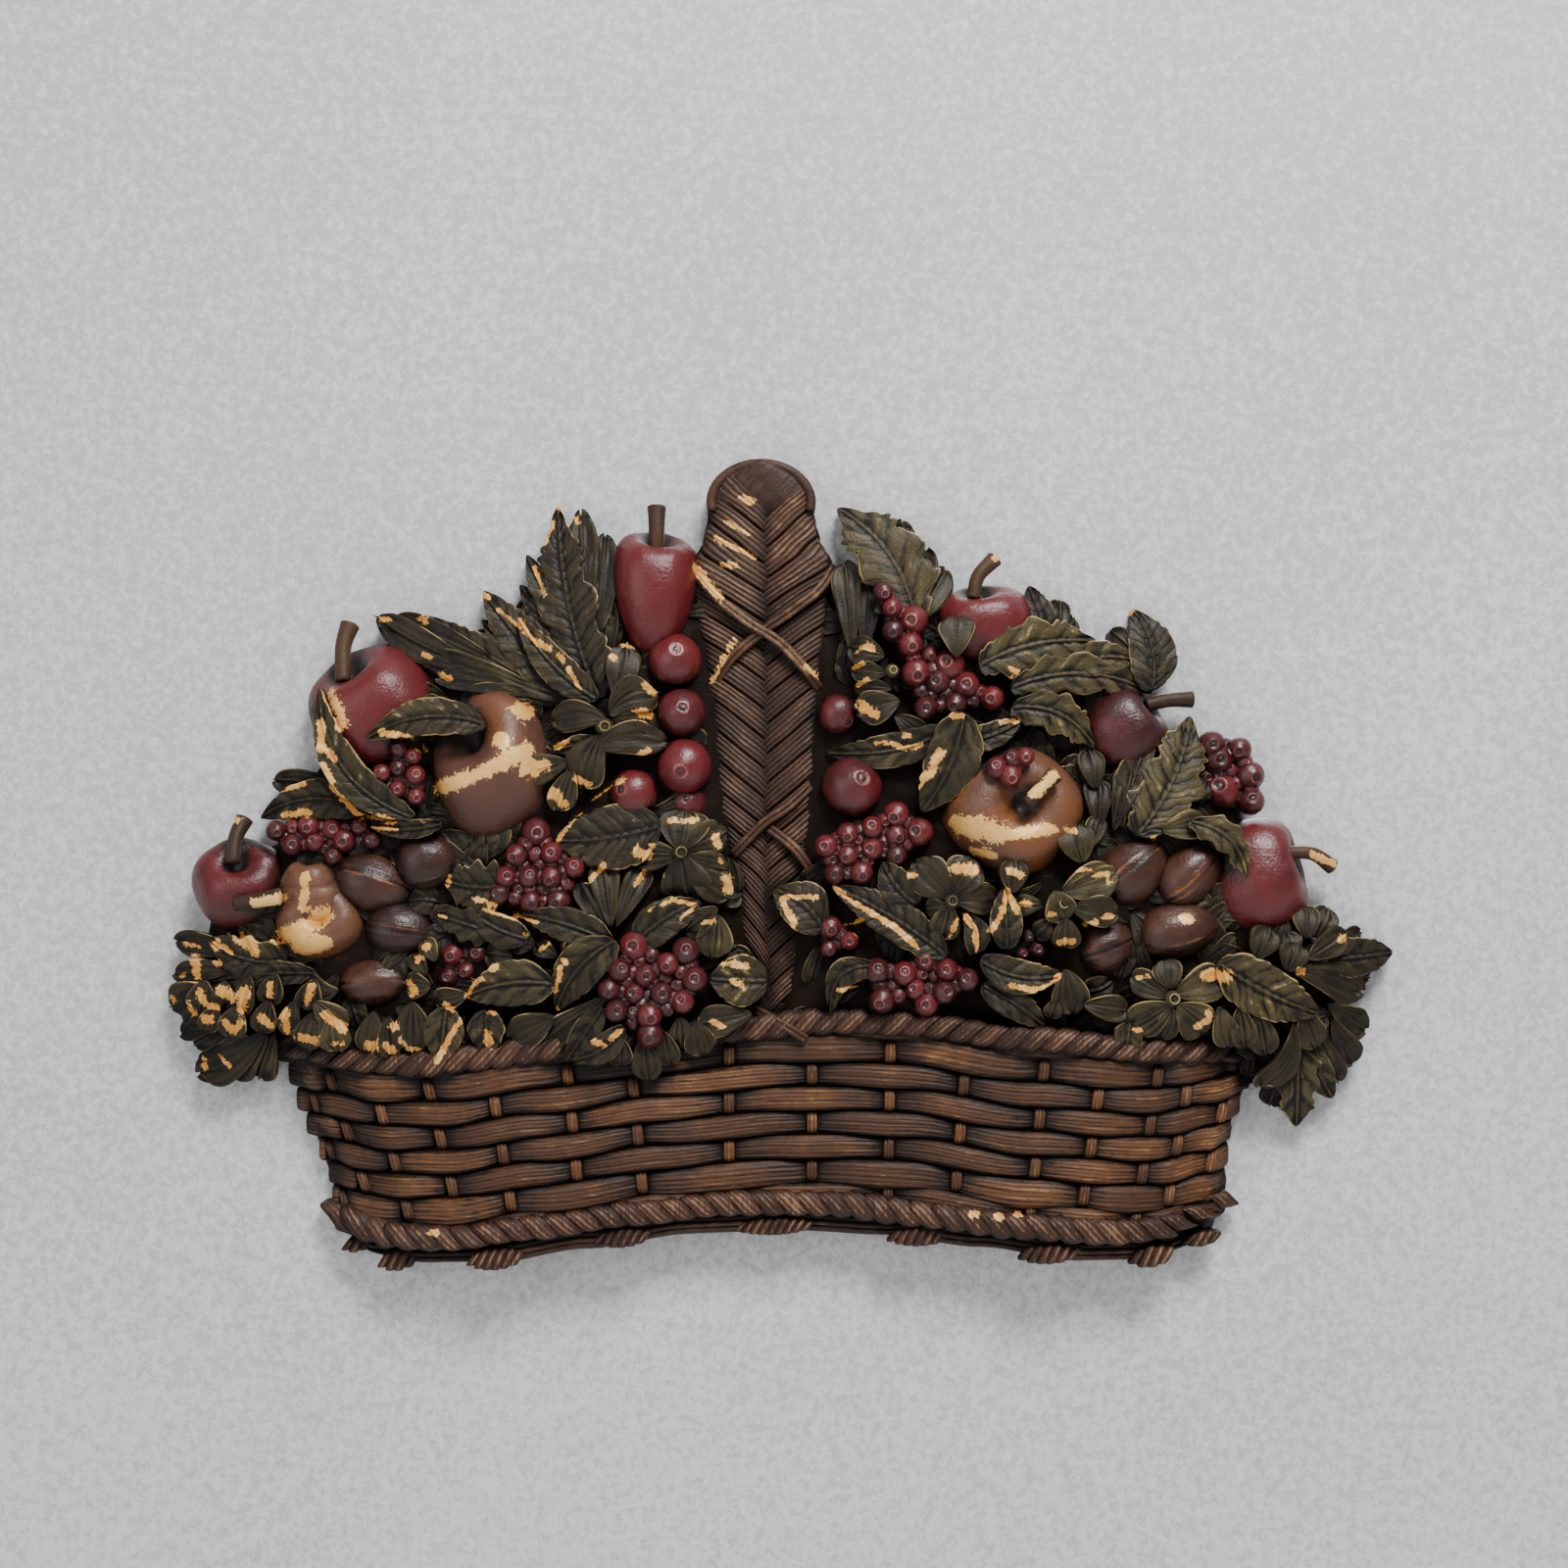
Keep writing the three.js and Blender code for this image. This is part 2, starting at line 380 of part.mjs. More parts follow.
// A spray of two or more leaves is one lobed solid: a tip with two shoulders for each leaf and
// a notch between neighbours, all seen from the middle of their feet.
function spray(leaves) {
  if (leaves.length === 1) return leaf(leaves[0]);
  const mean = (column) => leaves.reduce((sum, one) => sum + one[column], 0) / leaves.length;
  const [x, z, h] = [mean(0), mean(1), mean(6)];
  const polar = ([, , tipX, tipZ, width, , , tipH]) => ({
    angle: Math.atan2(tipZ - z, tipX - x), reach: Math.hypot(tipX - x, tipZ - z), width, tipH,
  });
  const tips = leaves.map(polar).sort((one, two) => one.angle - two.angle);
  const at = (angle, reach, height) => (
    new THREE.Vector3(x + reach * Math.cos(angle), z + reach * Math.sin(angle), height)
  );
  const outline = tips.flatMap((tip, i) => {
    const next = tips[(i + 1) % tips.length];
    const gap = (next.angle - tip.angle + 2 * Math.PI) % (2 * Math.PI);
    const spread = Math.min(LOBE_END * tip.width / tip.reach, gap / 3);
    const lobe = [-spread, spread].map((off) => at(tip.angle + off, tip.reach, tip.tipH));
    const open = gap > OPEN_GAP;
    const reach = open ? 1 : NOTCH * Math.min(tip.reach, next.reach);
    const height = open ? h - EDGE_DROP : (h + tip.tipH) / 2 - EDGE_DROP;
    return [...lobe, at(tip.angle + gap / 2, reach, height)];
  });
  const lowest = Math.min(...tips.map((tip) => tip.tipH));
  const keel = Math.max(lowest - LEAF_DEPTH, LEAF_CLEAR);
  const under = outline.map((corner) => new THREE.Vector3(corner.x, corner.y, keel));
  return loft(new THREE.Vector3(x, z, h), [outline, under], new THREE.Vector3(x, z, keel));
}

// ---------------------------------------------------------------- fruit, nuts and berries

// Each profile lists [radius, height] from the stem end to the far end of a body one unit big.
const APPLE = [[0, 0.74], [0.34, 0.95], [0.92, 0.42], [0.86, -0.5], [0, -1]];
const NUT = [[0, 1], [0.66, 0.66], [0.98, 0], [0.66, -0.66], [0, -1]];
const CHERRY = [[0, 1], [0.66, 0.74], [1, 0], [0, -1.2]];
const BERRY = [[0, 1], [0.95, 0.3], [0, -3.2]];

// A turned body about an axis, stretched to its half sizes and set at its centre.
function turned(profile, sides, axis, half, centre) {
  const points = profile.map(([radius, height]) => new THREE.Vector2(radius, height));
  const turn = new THREE.Quaternion();
  turn.setFromUnitVectors(new THREE.Vector3(0, 1, 0), axis.clone().normalize());
  const geometry = new THREE.LatheGeometry(points, sides);
  geometry.applyQuaternion(turn);
  geometry.scale(half.x, half.y, half.z);
  geometry.translate(centre.x, centre.y, centre.z);
  return solid(geometry);
}

function fruit([x, z, halfWidth, halfHeight, front, right, up, out]) {
  const depth = BODY_DEPTH * (halfWidth + halfHeight);
  const axis = new THREE.Vector3(right, up, out);
  const half = new THREE.Vector3(halfWidth, halfHeight, depth);
  return turned(APPLE, FRUIT_SIDES, axis, half, new THREE.Vector3(x, z, front - depth));
}

// Nuts are turned about their length, so their half sizes are taken before they are swung.
function nut([x, z, halfLength, halfWidth, degrees, front]) {
  const scaled = ([radius, height]) => new THREE.Vector2(radius * halfWidth, height * halfLength);
  const geometry = new THREE.LatheGeometry(NUT.map(scaled), NUT_SIDES);
  geometry.rotateZ(THREE.MathUtils.degToRad(degrees - 90));
  geometry.translate(x, z, front - halfWidth);
  return solid(geometry);
}

function ball(profile, sides, x, z, radius, front) {
  const half = new THREE.Vector3(radius, radius, radius);
  const centre = new THREE.Vector3(x, z, front - radius);
  return turned(profile, sides, new THREE.Vector3(0, 0, 1), half, centre);
}

// A round bar bent along its points: a stalk, a cord or the rim of the handle.
function bar(points, width, sides, steps) {
  const path = new THREE.CatmullRomCurve3(points.map(([x, z, h]) => new THREE.Vector3(x, z, h)));
  const corners = Array.from({ length: sides }, (_, i) => {
    const angle = 2 * Math.PI * i / sides;
    return new THREE.Vector2(Math.cos(angle) * width / 2, Math.sin(angle) * width / 2);
  });
  return solid(new THREE.ExtrudeGeometry(new THREE.Shape(corners), { steps, extrudePath: path }));
}

// ---------------------------------------------------------------- the basket

const sag = (x) => along(WEAVE_SAG, x);
const rowEdge = (row, x) => ROW_TOP - ROW_PITCH * row + sag(x);

function basketDepth(x, z) {
  const left = along(BASKET_LEFT, z);
  const right = along(BASKET_RIGHT, z);
  return along(BASKET_DEPTH, (2 * x - left - right) / (right - left));
}

function basketX(share, z) {
  return THREE.MathUtils.lerp(along(BASKET_LEFT, z), along(BASKET_RIGHT, z), share);
}

// How far the weave stands out at one stake: the strips pass over it and behind it by turns, and
// where they pass behind it the stake shows in a hollow between two rises.
const standing = (stake, row) => ((stake + row) % 2 === 1 ? -WEAVE_DIP : WEAVE_RISE);

// One column of the weave: a groove above every row and the face of the row below it. It runs on
// behind the two ropes, which lie over its first and last corners.
function weaveColumn(topX, bottomX, reach) {
  const place = (z) => THREE.MathUtils.mapLinear(z, STAKE_TOP, STAKE_FOOT, topX, bottomX);
  const at = (rowPlace, rise) => {
    const middleZ = rowEdge(rowPlace, (topX + bottomX) / 2);
    const x = place(middleZ);
    const z = rowEdge(rowPlace, x);
    return new THREE.Vector3(x, z, Math.max(basketDepth(x, z) + rise, THINNEST));
  };
  const ring = [at(-1, -BED_DROP)];
  for (let row = 0; row < ROW_COUNT; row += 1) {
    ring.push(at(row, -WEAVE_BED), at(row + 0.5, reach(row)));
  }
  ring.push(at(ROW_COUNT, -WEAVE_BED), at(ROW_COUNT + BELOW_ROWS, -BED_DROP));
  const [first, last] = [ring[0], ring[ring.length - 1]];
  ring.push(last.clone().setZ(BELOW_WALL), first.clone().setZ(BELOW_WALL));
  return ring;
}

function weave() {
  const columns = STAKES.flatMap(([top, bottom], stake) => [-STAKE_REACH, STAKE_REACH].map((off) => (
    weaveColumn(top + off, bottom + off, (row) => standing(stake, row))
  )));
  const [left, right] = [0, 1].map((share) => (
    weaveColumn(basketX(share, STAKE_TOP), basketX(share, STAKE_FOOT), () => -WEAVE_DIP)
  ));
  return prism([left, ...columns, right]);
}

// A low moulding along a line of stations, running back to the wall.
function moulding(line, width, steps) {
  const [from, to] = [line[0][0], line[line.length - 1][0]];
  const rings = Array.from({ length: steps + 1 }, (_, i) => {
    const x = from + (to - from) * i / steps;
    const z = along(line, x);
    const h = Math.max(basketDepth(x, z) - FOOT_SINK, ROPE_THINNEST);
    return [
      new THREE.Vector3(x, z + width / 2, h - FOOT_SIDE), new THREE.Vector3(x, z, h),
      new THREE.Vector3(x, z - width / 2, h - FOOT_SIDE), new THREE.Vector3(x, z - width / 2, BELOW_WALL),
      new THREE.Vector3(x, z + width / 2, BELOW_WALL),
    ];
  });
  return prism(rings);
}

// A rope of slanting strands: its rings lean, and stand high on a strand and low between two.
// lean is 1 for strands that climb to the right and -1 for strands that climb to the left.
function rope(line, lean) {
  const [from, to] = [line[0][0], line[line.length - 1][0]];
  const count = 2 * Math.round((to - from) / ROPE_PITCH);
  const reach = lean * ROPE_WIDTH / 2 / Math.tan(ROPE_TURN);
  const rings = Array.from({ length: count + 1 }, (_, i) => {
    const x = from + (to - from) * i / count;
    const z = along(line, x);
    const low = i % 2 === 0 ? ROPE_GROOVE : 0;
    const h = Math.max(basketDepth(x, z) + ROPE_RISE - low, ROPE_THINNEST);
    const half = ROPE_WIDTH / 2 - low / 3;
    return [
      new THREE.Vector3(x + reach, along(line, x + reach) + half, h - ROPE_SIDE), new THREE.Vector3(x, z, h),
      new THREE.Vector3(x - reach, along(line, x - reach) - half, h - ROPE_SIDE),
      new THREE.Vector3(x, z, BELOW_WALL),
    ];
  });
  return prism(rings);
}

function foot() {
  const wraps = FOOT_WRAPS.map(([x, z, width, height]) => {
    const h = basketDepth(x, z) - WRAP_SINK;
    const reach = width / 2 + WRAP_END;
    return leaf([x - reach, z, x + reach, z, height, 0, h, h, 'petal']);
  });
  return [moulding(FOOT_BAND, FOOT_WIDTH, FOOT_STEPS), ...wraps];
}

// ---------------------------------------------------------------- the handle

// One ring of the handle: its middle at z and its edges further up, all sunk by groove.
function handleRing(z, drop, groove) {
  const left = new THREE.Vector3(along(HANDLE_LEFT, z + drop), z + drop, HANDLE_EDGE - groove / 2);
  const right = new THREE.Vector3(along(HANDLE_RIGHT, z + drop), z + drop, HANDLE_EDGE - groove / 2);
  return [
    left, new THREE.Vector3(HANDLE_MIDDLE, z, HANDLE_FACE - groove), right,
    right.clone().setZ(BELOW_WALL), left.clone().setZ(BELOW_WALL),
  ];
}

// The plaited face is one loft of chevrons, high on a bundle and low between two.
function plait() {
  const first = PLAIT_TOP - PLAIT_DROP;
  const count = 2 * Math.round((first - HANDLE_FOOT) / PLAIT_PITCH);
  const rings = Array.from({ length: count + 1 }, (_, i) => (
    handleRing(THREE.MathUtils.lerp(first, HANDLE_FOOT, i / count), PLAIT_DROP, (i % 2) * PLAIT_GROOVE)
  ));
  return prism(rings);
}

function handleCap() {
  return prism(CAP_LEVELS.map((z) => handleRing(z, 0, 0)));
}

function handleRim() {
  const points = Array.from({ length: RIM_STEPS + 1 }, (_, i) => {
    const angle = THREE.MathUtils.lerp(Math.PI + RIM_OVER, -RIM_OVER, i / RIM_STEPS);
    return [
      RIM_MIDDLE[0] + RIM_HALF[0] * Math.cos(angle), RIM_MIDDLE[1] + RIM_HALF[1] * Math.sin(angle),
      HANDLE_EDGE + RIM_RISE,
    ];
  });
  return bar(points, RIM_WIDTH, 4, RIM_STEPS - 1);
}

// ---------------------------------------------------------------- the whole plaque

// One swell of the ground, lofted from its outline up to its crest.
function ground(outline, [centreX, centreZ]) {
  const ring = (reach, share) => outline.map(([x, z]) => {
    const at = [centreX + (x - centreX) * reach, centreZ + (z - centreZ) * reach];
    const crest = THREE.MathUtils.mapLinear(at[1], CREST_FROM, CREST_TO, CREST_LOW, CREST_HIGH);
    return new THREE.Vector3(at[0], at[1], share === 0 ? BELOW_WALL : share * crest);
  });
  const rings = [ring(1, 0), ...GROUND_SWELL.map(([reach, share]) => ring(reach, share))];
  return loft(new THREE.Vector3(centreX, centreZ, BELOW_WALL), rings, ring(0, 1)[0]);
}

const pieces = [
  ground(GROUND_LEFT, GROUND_MIDDLES[0]), ground(GROUND_RIGHT, GROUND_MIDDLES[1]),
  weave(), rope(UPPER_ROPE, 1), rope(LOWER_ROPE, -1), ...foot(),
  plait(), handleCap(), handleRim(), ...CORDS.map((points) => bar(points, CORD_WIDTH, 4, 4)),
  ...FRUIT.map(fruit), ...STEMS.map(([points, width]) => bar(points, width, 4, 2)), ...NUTS.map(nut),
  ...CHERRIES.map(([x, z, radius, front]) => ball(CHERRY, CHERRY_SIDES, x, z, radius, front)),
  ...BERRIES.flatMap(([front, berries]) => (
    berries.map(([x, z, radius]) => ball(BERRY, BERRY_SIDES, x, z, radius, front))
  )),
  ...SPRAYS.map(spray),
];

// Everything behind the wall plane is cut away, which leaves the flat back.
const behind = new THREE.BoxGeometry(...BACK_BLOCK);
behind.translate(0, 0, -BACK_BLOCK[2] / 2);
const whole = pieces.reduce((sum, piece) => sum.add(piece)).subtract(solid(behind));

const { vertProperties, triVerts } = whole.getMesh();
const geometry = new THREE.BufferGeometry();
geometry.setAttribute('position', new THREE.BufferAttribute(new Float32Array(vertProperties), 3));
geometry.setIndex(new THREE.BufferAttribute(new Uint32Array(triVerts), 1));
geometry.rotateX(Math.PI / 2);
geometry.computeVertexNormals();

const paint = new THREE.MeshStandardMaterial({ color: '#4a3226', roughness: 0.55, metalness: 0 });
const plaque = new THREE.Mesh(geometry, paint);
plaque.name = 'fruit_basket_plaque';

const group = new THREE.Group();
group.add(plaque);

export default group;
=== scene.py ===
"""A moulded wall plaque: a woven basket heaped with fruit, nuts, berries, blossom and leaves.

The tables are in millimetres as seen from the front: x to the right, z up, and h, the height in
front of the wall. Every skin is worked out in those numbers, and `Moulding.finish` turns them
into the frame's metres, with the relief standing out towards -Y.
"""
import math

import bpy
import mathutils
import numpy as np
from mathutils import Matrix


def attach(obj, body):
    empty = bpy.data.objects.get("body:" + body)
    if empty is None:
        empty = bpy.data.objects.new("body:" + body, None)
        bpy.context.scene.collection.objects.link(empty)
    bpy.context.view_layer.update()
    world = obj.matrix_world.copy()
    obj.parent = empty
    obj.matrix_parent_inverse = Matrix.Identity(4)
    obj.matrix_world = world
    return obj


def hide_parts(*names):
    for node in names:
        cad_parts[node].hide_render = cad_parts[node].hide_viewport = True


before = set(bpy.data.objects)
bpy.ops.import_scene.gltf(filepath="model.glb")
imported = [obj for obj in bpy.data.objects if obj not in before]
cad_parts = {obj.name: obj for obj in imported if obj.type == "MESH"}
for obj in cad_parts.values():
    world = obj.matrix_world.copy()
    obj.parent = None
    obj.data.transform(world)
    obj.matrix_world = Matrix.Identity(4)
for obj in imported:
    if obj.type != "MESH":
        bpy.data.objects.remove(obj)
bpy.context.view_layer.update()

PLAQUE = "fruit_basket_plaque"
MM = 0.001
WALL_GAP = 0.15                # no leaf or fruit comes nearer to the wall plane than this
BACK_SKIN = 0.65               # what lies lower than this belongs to the back
BOARD_COVER = 0.6              # how far the board's back lies behind the other pieces' backs
BOARD_THICK = 3.0              # the back board's own thickness
RELIEF_LOW = (-300, -220)      # lowest x and z of the grid of heights
RELIEF_SIZE = (600, 440)       # how many cells of a millimetre it has along x and along z
NEAR_REACH, NEAR_DEPTH = 2, 2.6     # cells of close surroundings, and a full crevice's depth there
FAR_REACH, FAR_DEPTH = 6, 7.0       # the same for wide surroundings
random = np.random.default_rng(11)

# ---------------------------------------------------------------- the basket's measures

ROW_COUNT = 6                  # woven rows
ROW_PITCH = 9.85               # height of one row
ROW_TOP = -72.5                # top of the first row at the middle of the basket
ROW_GAP = 0.5                  # groove between two rows
ROW_MORE = {0: (3.2, 0), 5: (0, 2)}     # how far a row reaches further up and further down
WEAVE_DIP = 2.6                # a strip sinks this far behind a stake
WEAVE_RISE = 2.6               # and rises this far over one
STRIP_EDGE = 1.9               # how far a strip's long edges fall
STRIP_GRAIN = 6                # grain lines along a strip
STAKE_WIDTH = 5.2
STAKE_RISE = 1.2
STAKE_TOP, STAKE_FOOT = -80, -140       # z of the two x given for each stake
BED_LEFT, BED_RIGHT = -193, 187         # the bed behind the strips follows the rows between these
BED_DROP = 4.2                 # how far the bed lies under the basket's face

ROPE_WIDTH = 11.2
ROPE_PITCH = 9.2               # one strand of a rope to the next
ROPE_RISE = 2.4                # the strands' axis above the basket's face
ROPE_BULGE = 3.2               # and their faces above that
ROPE_LEAN = 7.0                # how far a strand runs sideways on its way up
FOOT_STRAND = 1.55             # radius of each strand of the foot
FOOT_SPREAD = 2.3              # from one strand of the foot to the next

PLAIT_PITCH = 12.2             # one bundle of the plaited handle to the next
PLAIT_DROP = 21                # a bundle falls this far from the edge to the middle
PLAIT_TOP = 149
HANDLE_FOOT = -66
HANDLE_END = 165.6
HANDLE_MIDDLE = -7.5
HANDLE_FACE = 14.5             # height of the plaited face at its middle
HANDLE_EDGE = 8.5
RIM_ARC = (-9.4, 148, 20.6, 16)    # the rim's centre x and z, half width and height
RIM_WIDTH = 4.2
CORD_WIDTH = 2.1               # width of one of the two strands of a cord

WEAVE_SAG = [
    (-210, -11), (-190, -12.5), (-165, -15.5), (-140, -15), (-100, -9.6), (-50, -3.6), (0, 0),
    (25, 0.3), (50, -0.6), (100, -7), (150, -10), (175, -7), (192, -3),
]
BASKET_LEFT = [(-163, -178), (-150, -184), (-141, -186), (-130, -186), (-117, -191), (-103, -197.5),
               (-88, -204), (-74, -210)]
BASKET_RIGHT = [(-160, 178), (-141, 182), (-120, 183), (-106, 187.5), (-94, 192.5), (-74, 190)]
BASKET_DEPTH = [
    (-1, 5), (-0.94, 13), (-0.8, 21), (-0.62, 26), (-0.38, 23), (-0.13, 17.5), (0.06, 16),
    (0.25, 18), (0.45, 23), (0.66, 26), (0.84, 21), (0.95, 13), (1, 6),
]
STAKES = [                     # x at the top row and x at the bottom row
    (-199, -181), (-189, -170), (-170, -154), (-147, -133), (-120, -110.5), (-88.5, -83),
    (-62.5, -57), (-22.5, -22.5), (11.5, 11.5), (43.5, 42.5), (74, 69.5), (106, 100.5),
    (129.5, 121), (153.5, 144), (166.5, 156.5), (185, 172.5),
]
UPPER_ROPE = [
    (-205, -76), (-170, -80.5), (-150, -82), (-130, -79), (-90, -75), (-50, -71), (-12, -67.5),
    (20, -65), (50, -66), (100, -71.5), (150, -76), (186, -77),
]
LOWER_ROPE = [
    (-183, -146), (-160, -152), (-140, -152.5), (-100, -147.5), (-60, -142.5), (-20, -139.2),
    (20, -139.5), (60, -143.5), (100, -147.5), (140, -150), (158, -148), (170, -144), (179, -138),
]
FOOT_BAND = [
    (-179, -158), (-155, -160.5), (-120, -159), (-80, -153.5), (-40, -148.5), (0, -147.5),
    (40, -149), (80, -153), (120, -158), (145, -158.7), (177, -154.5),
]
FOOT_WRAPS = [                 # x, z, width and height of each turn that binds the foot
    (-176, -158, 10, 8), (-158, -163, 14, 11), (-117, -160.5, 20, 11), (-66, -152.5, 20, 10),
    (-4, -149, 30, 9), (56, -152.5, 24, 10), (108, -158.5, 22, 10), (150, -160.5, 15, 11),
    (172, -155, 12, 8),
]
HANDLE_LEFT = [
    (-66, -11), (-60, -13), (-40, -18), (-10, -21), (10, -27), (30, -29.5), (60, -30), (80, -33),
    (106, -37), (118, -39), (124, -38), (132, -33.5), (143, -31.5), (151, -32), (158, -28.5),
    (163, -20), (166, -9.5),
]
HANDLE_RIGHT = [
    (-66, 5), (-60, 8), (-40, 11), (-10, 13), (10, 14), (60, 14), (80, 15.3), (106, 18),
    (118, 21), (124, 20), (132, 15.2), (143, 12.5), (151, 13), (158, 9.5), (163, 1),
    (166, -9.5),
]
CORDS = [                      # points x, z, h along each binding cord
    [(-38, 121, 9), (-28, 109, 16), (-14, 97.7, 18.5), (-2.6, 90.6, 19), (7.4, 80.6, 17),
     (15, 71, 10)],
    [(21, 122, 9), (14.6, 112, 15), (4, 103.4, 17), (-8, 95, 17.2), (-21, 84, 16),
     (-31, 70, 9)],
    [(14.5, 34.5, 9), (2, 23, 16.5), (-8.6, 15.7, 18), (-21, 3, 14)],
    [(-6, 14, 16), (4.3, 5.7, 17), (12, -4.3, 15), (15, -9, 9)],
    [(-15, -59, 14), (0, -66.5, 21), (9, -72, 21)],
]

# ---------------------------------------------------------------- the heap's measures

# Large fruit: x, z, half width, half height, front h, then where the stem end looks: right, up,
# out; then how much narrower it is at the foot.
APPLES = [
    (-53.5, 110, 17.5, 27, 27, 0.1, 0.95, 0.3, 0.26),
    (-168, 61, 28.5, 29, 31, -0.42, 0.72, 0.45, 0.05),
    (-224, -10, 20.5, 20, 27, 0.05, 0.62, 0.75, 0.05),
    (83, 97, 20.5, 17.5, 26, -0.15, 0.9, 0.4, 0.1), (140, 54, 18.5, 18.5, 26, 0.7, 0.62, 0.3, 0),
    (195, -7.5, 21.5, 26, 29, 0.85, 0.32, 0.3, 0),
]
GOLD_FRUIT = [
    (-119.5, 38.5, 26, 33, 34, -0.35, 0.45, 0.8, 0.1),
    (93.5, 20.5, 31, 29, 34, 0.12, 0.12, 0.98, 0.06), (-190, -24, 19, 16.5, 30, 0.1, 0.2, 0.97, 0),
    (-193.5, -9.5, 13, 12, 27.5, 0, 0.95, 0.3, -0.2), (-192, -16, 15.5, 12, 28.8, 0, 0.9, 0.4, 0),
]
STALKS = [                     # points x, z, h along each stalk, then its width
    ([(-52.4, 126, 14), (-52.3, 136, 14.5), (-52.3, 146, 13)], 6.4),
    ([(-180, 74, 20), (-180.5, 88, 17), (-178.3, 97.5, 14)], 6.6),
    ([(-224, 0, 24), (-223.5, 10, 21), (-221, 17.6, 17)], 6),
    ([(77.5, 108, 18), (79.5, 117, 17), (86.5, 124.5, 15)], 5.6),
    ([(149, 64.5, 13), (158, 66.5, 13), (168, 67, 11)], 5.8),
    ([(202, 3.6, 16), (216, 3.6, 16), (225.5, -2, 13)], 5.4),
    ([(-222, -16.4, 28), (-203, -13.4, 30.5)], 6),
    ([(97.5, 24, 35), (109, 36, 33.5)], 5.8),
]
# Nuts: x, z, half length, half width, turn in degrees, front h, then the turn of its seam about
# its length, in degrees from the middle of its face.
NUTS = [
    (-168, -8.5, 16, 12.5, -16, 28, 20), (-146, 0.5, 13, 13, 10, 28, -30),
    (-157, -27.5, 14.5, 11.5, -8, 27, 0), (-167, -49.5, 15, 10.5, 4, 26, 10),
    (142.5, -3.5, 16, 13, 40, 29, 15), (166, -4.5, 16, 11.5, 44, 28, -12),
    (132, -34.5, 13, 13, 20, 27, 0), (161, -28, 17, 12.5, 12, 29, -25),
]
# Cherries: x, z, radius, front h, then where the eye lies from the middle.
CHERRIES = [
    (-44.9, 82.7, 11.2, 25, 1, 4.3), (-42.2, 61.1, 10.3, 25, 1, 2),
    (-40.9, 39.4, 11.5, 28, -1, -2.4), (-61.3, 28.3, 10.3, 27, -5.2, 1.7), (-40, 24, 8.8, 20, 0, 2),
    (22, 61, 8.8, 22, 4.4, -4), (27.6, 30.5, 12.9, 28, 4.4, 4),
]
# Clusters of small berries: the front h of the cluster, then x, z, radius of each berry.
BERRIES = [
    (30, [(-156.7, 38.4, 3.8), (-163, 36.3, 3.8), (-149.6, 35.6, 4), (-163.9, 29.9, 3.5),
          (-156.7, 29.9, 3.5), (-149.6, 27, 3.6), (-156, 46.3, 4), (-150.3, 43.4, 3.5)]),
    (25, [(-207.4, 12.9, 4), (-200.6, 7.2, 4.5), (-193.9, 14.7, 4.5), (-191.4, 8.3, 4),
          (-183.9, 2.6, 4), (-184.6, 13.3, 4.5), (-179.6, 9, 5), (-173, 14.7, 4), (-168, 9, 3.7)]),
    (28, [(-101, 12.4, 5.8), (-108.6, 3, 4.6), (-94.6, 3.9, 4.6), (-85.4, -1.9, 4.3),
          (-113.2, -5.8, 4.5), (-103.9, -6, 4.7), (-94.6, -5.8, 4.6), (-115.7, -12.9, 4.3),
          (-103.2, -16, 4.7), (-92, -15.8, 5.3)]),
    (34, [(-60.7, -33.9, 6.2), (-40, -35.7, 5.6), (-46.8, -40.4, 4.6), (-66.4, -43.2, 4.9),
          (-56, -45.4, 4.9), (-36.4, -47, 5.2), (-70.7, -51, 4.6), (-60.4, -52.5, 4.4),
          (-49.6, -52.5, 4.9), (-41, -56, 4.8), (-67.9, -59.6, 4.8), (-54.6, -61.4, 5.4),
          (-54.3, -69.3, 5.5)]),
    (25, [(-135.4, -37.6, 4.9), (-124.6, -36.9, 4.7), (-136.8, -46.9, 4.3), (-129.3, -44.4, 4)]),
    (31, [(37.7, -44, 5.2), (48.8, -45, 4.9), (57.4, -39.4, 5), (65.9, -43.4, 4.6),
          (74.5, -47.3, 4.7), (53.4, -51.2, 4.2), (64.9, -52.3, 4.8), (39.9, -55.5, 5.2),
          (57.7, -57.3, 4.8)]),
    (28, [(46, 19.6, 5.5), (26, 11.7, 4.7), (36, 14.2, 4.6), (45.4, 11.4, 4.6), (55, 12.4, 5.8),
          (26, 3, 4.6), (35.7, 5.6, 4.9), (45.7, 3, 4.5), (17.5, 6.7, 4.7), (20.7, -4.4, 4.3),
          (31.4, -4, 4.8)]),
    (26, [(40.3, 110.3, 4), (43.9, 103.9, 4), (53, 98.9, 6), (44.6, 94.6, 4.6), (51.4, 88.9, 5),
          (53.9, 77.4, 6), (67.4, 80.3, 6.5), (62.8, 73.9, 5.3), (74.6, 72, 5.7), (57.8, 62.8, 5),
          (69.9, 64.6, 4.8), (84.9, 67, 5)]),
    (20, [(175.6, 48.4, 5.5), (187, 46.3, 5), (178.4, 42, 6.5), (191.3, 35.6, 6), (180.6, 29, 8),
          (192, 24.9, 5.5), (168.4, 27.7, 4.5)]),
    (27, [(18.6, -26.4, 4.9), (18.2, -35, 3.6), (26.4, -32, 3.9)]),
    (26, [(99.5, -29.8, 2.8), (97, -37.3, 2.9), (103, -35.3, 3.8)]),
    (37.5, [(85.7, 38.5, 4.4), (91, 35.5, 4.6), (92, 42, 4), (97, 43, 3.6)]),
]
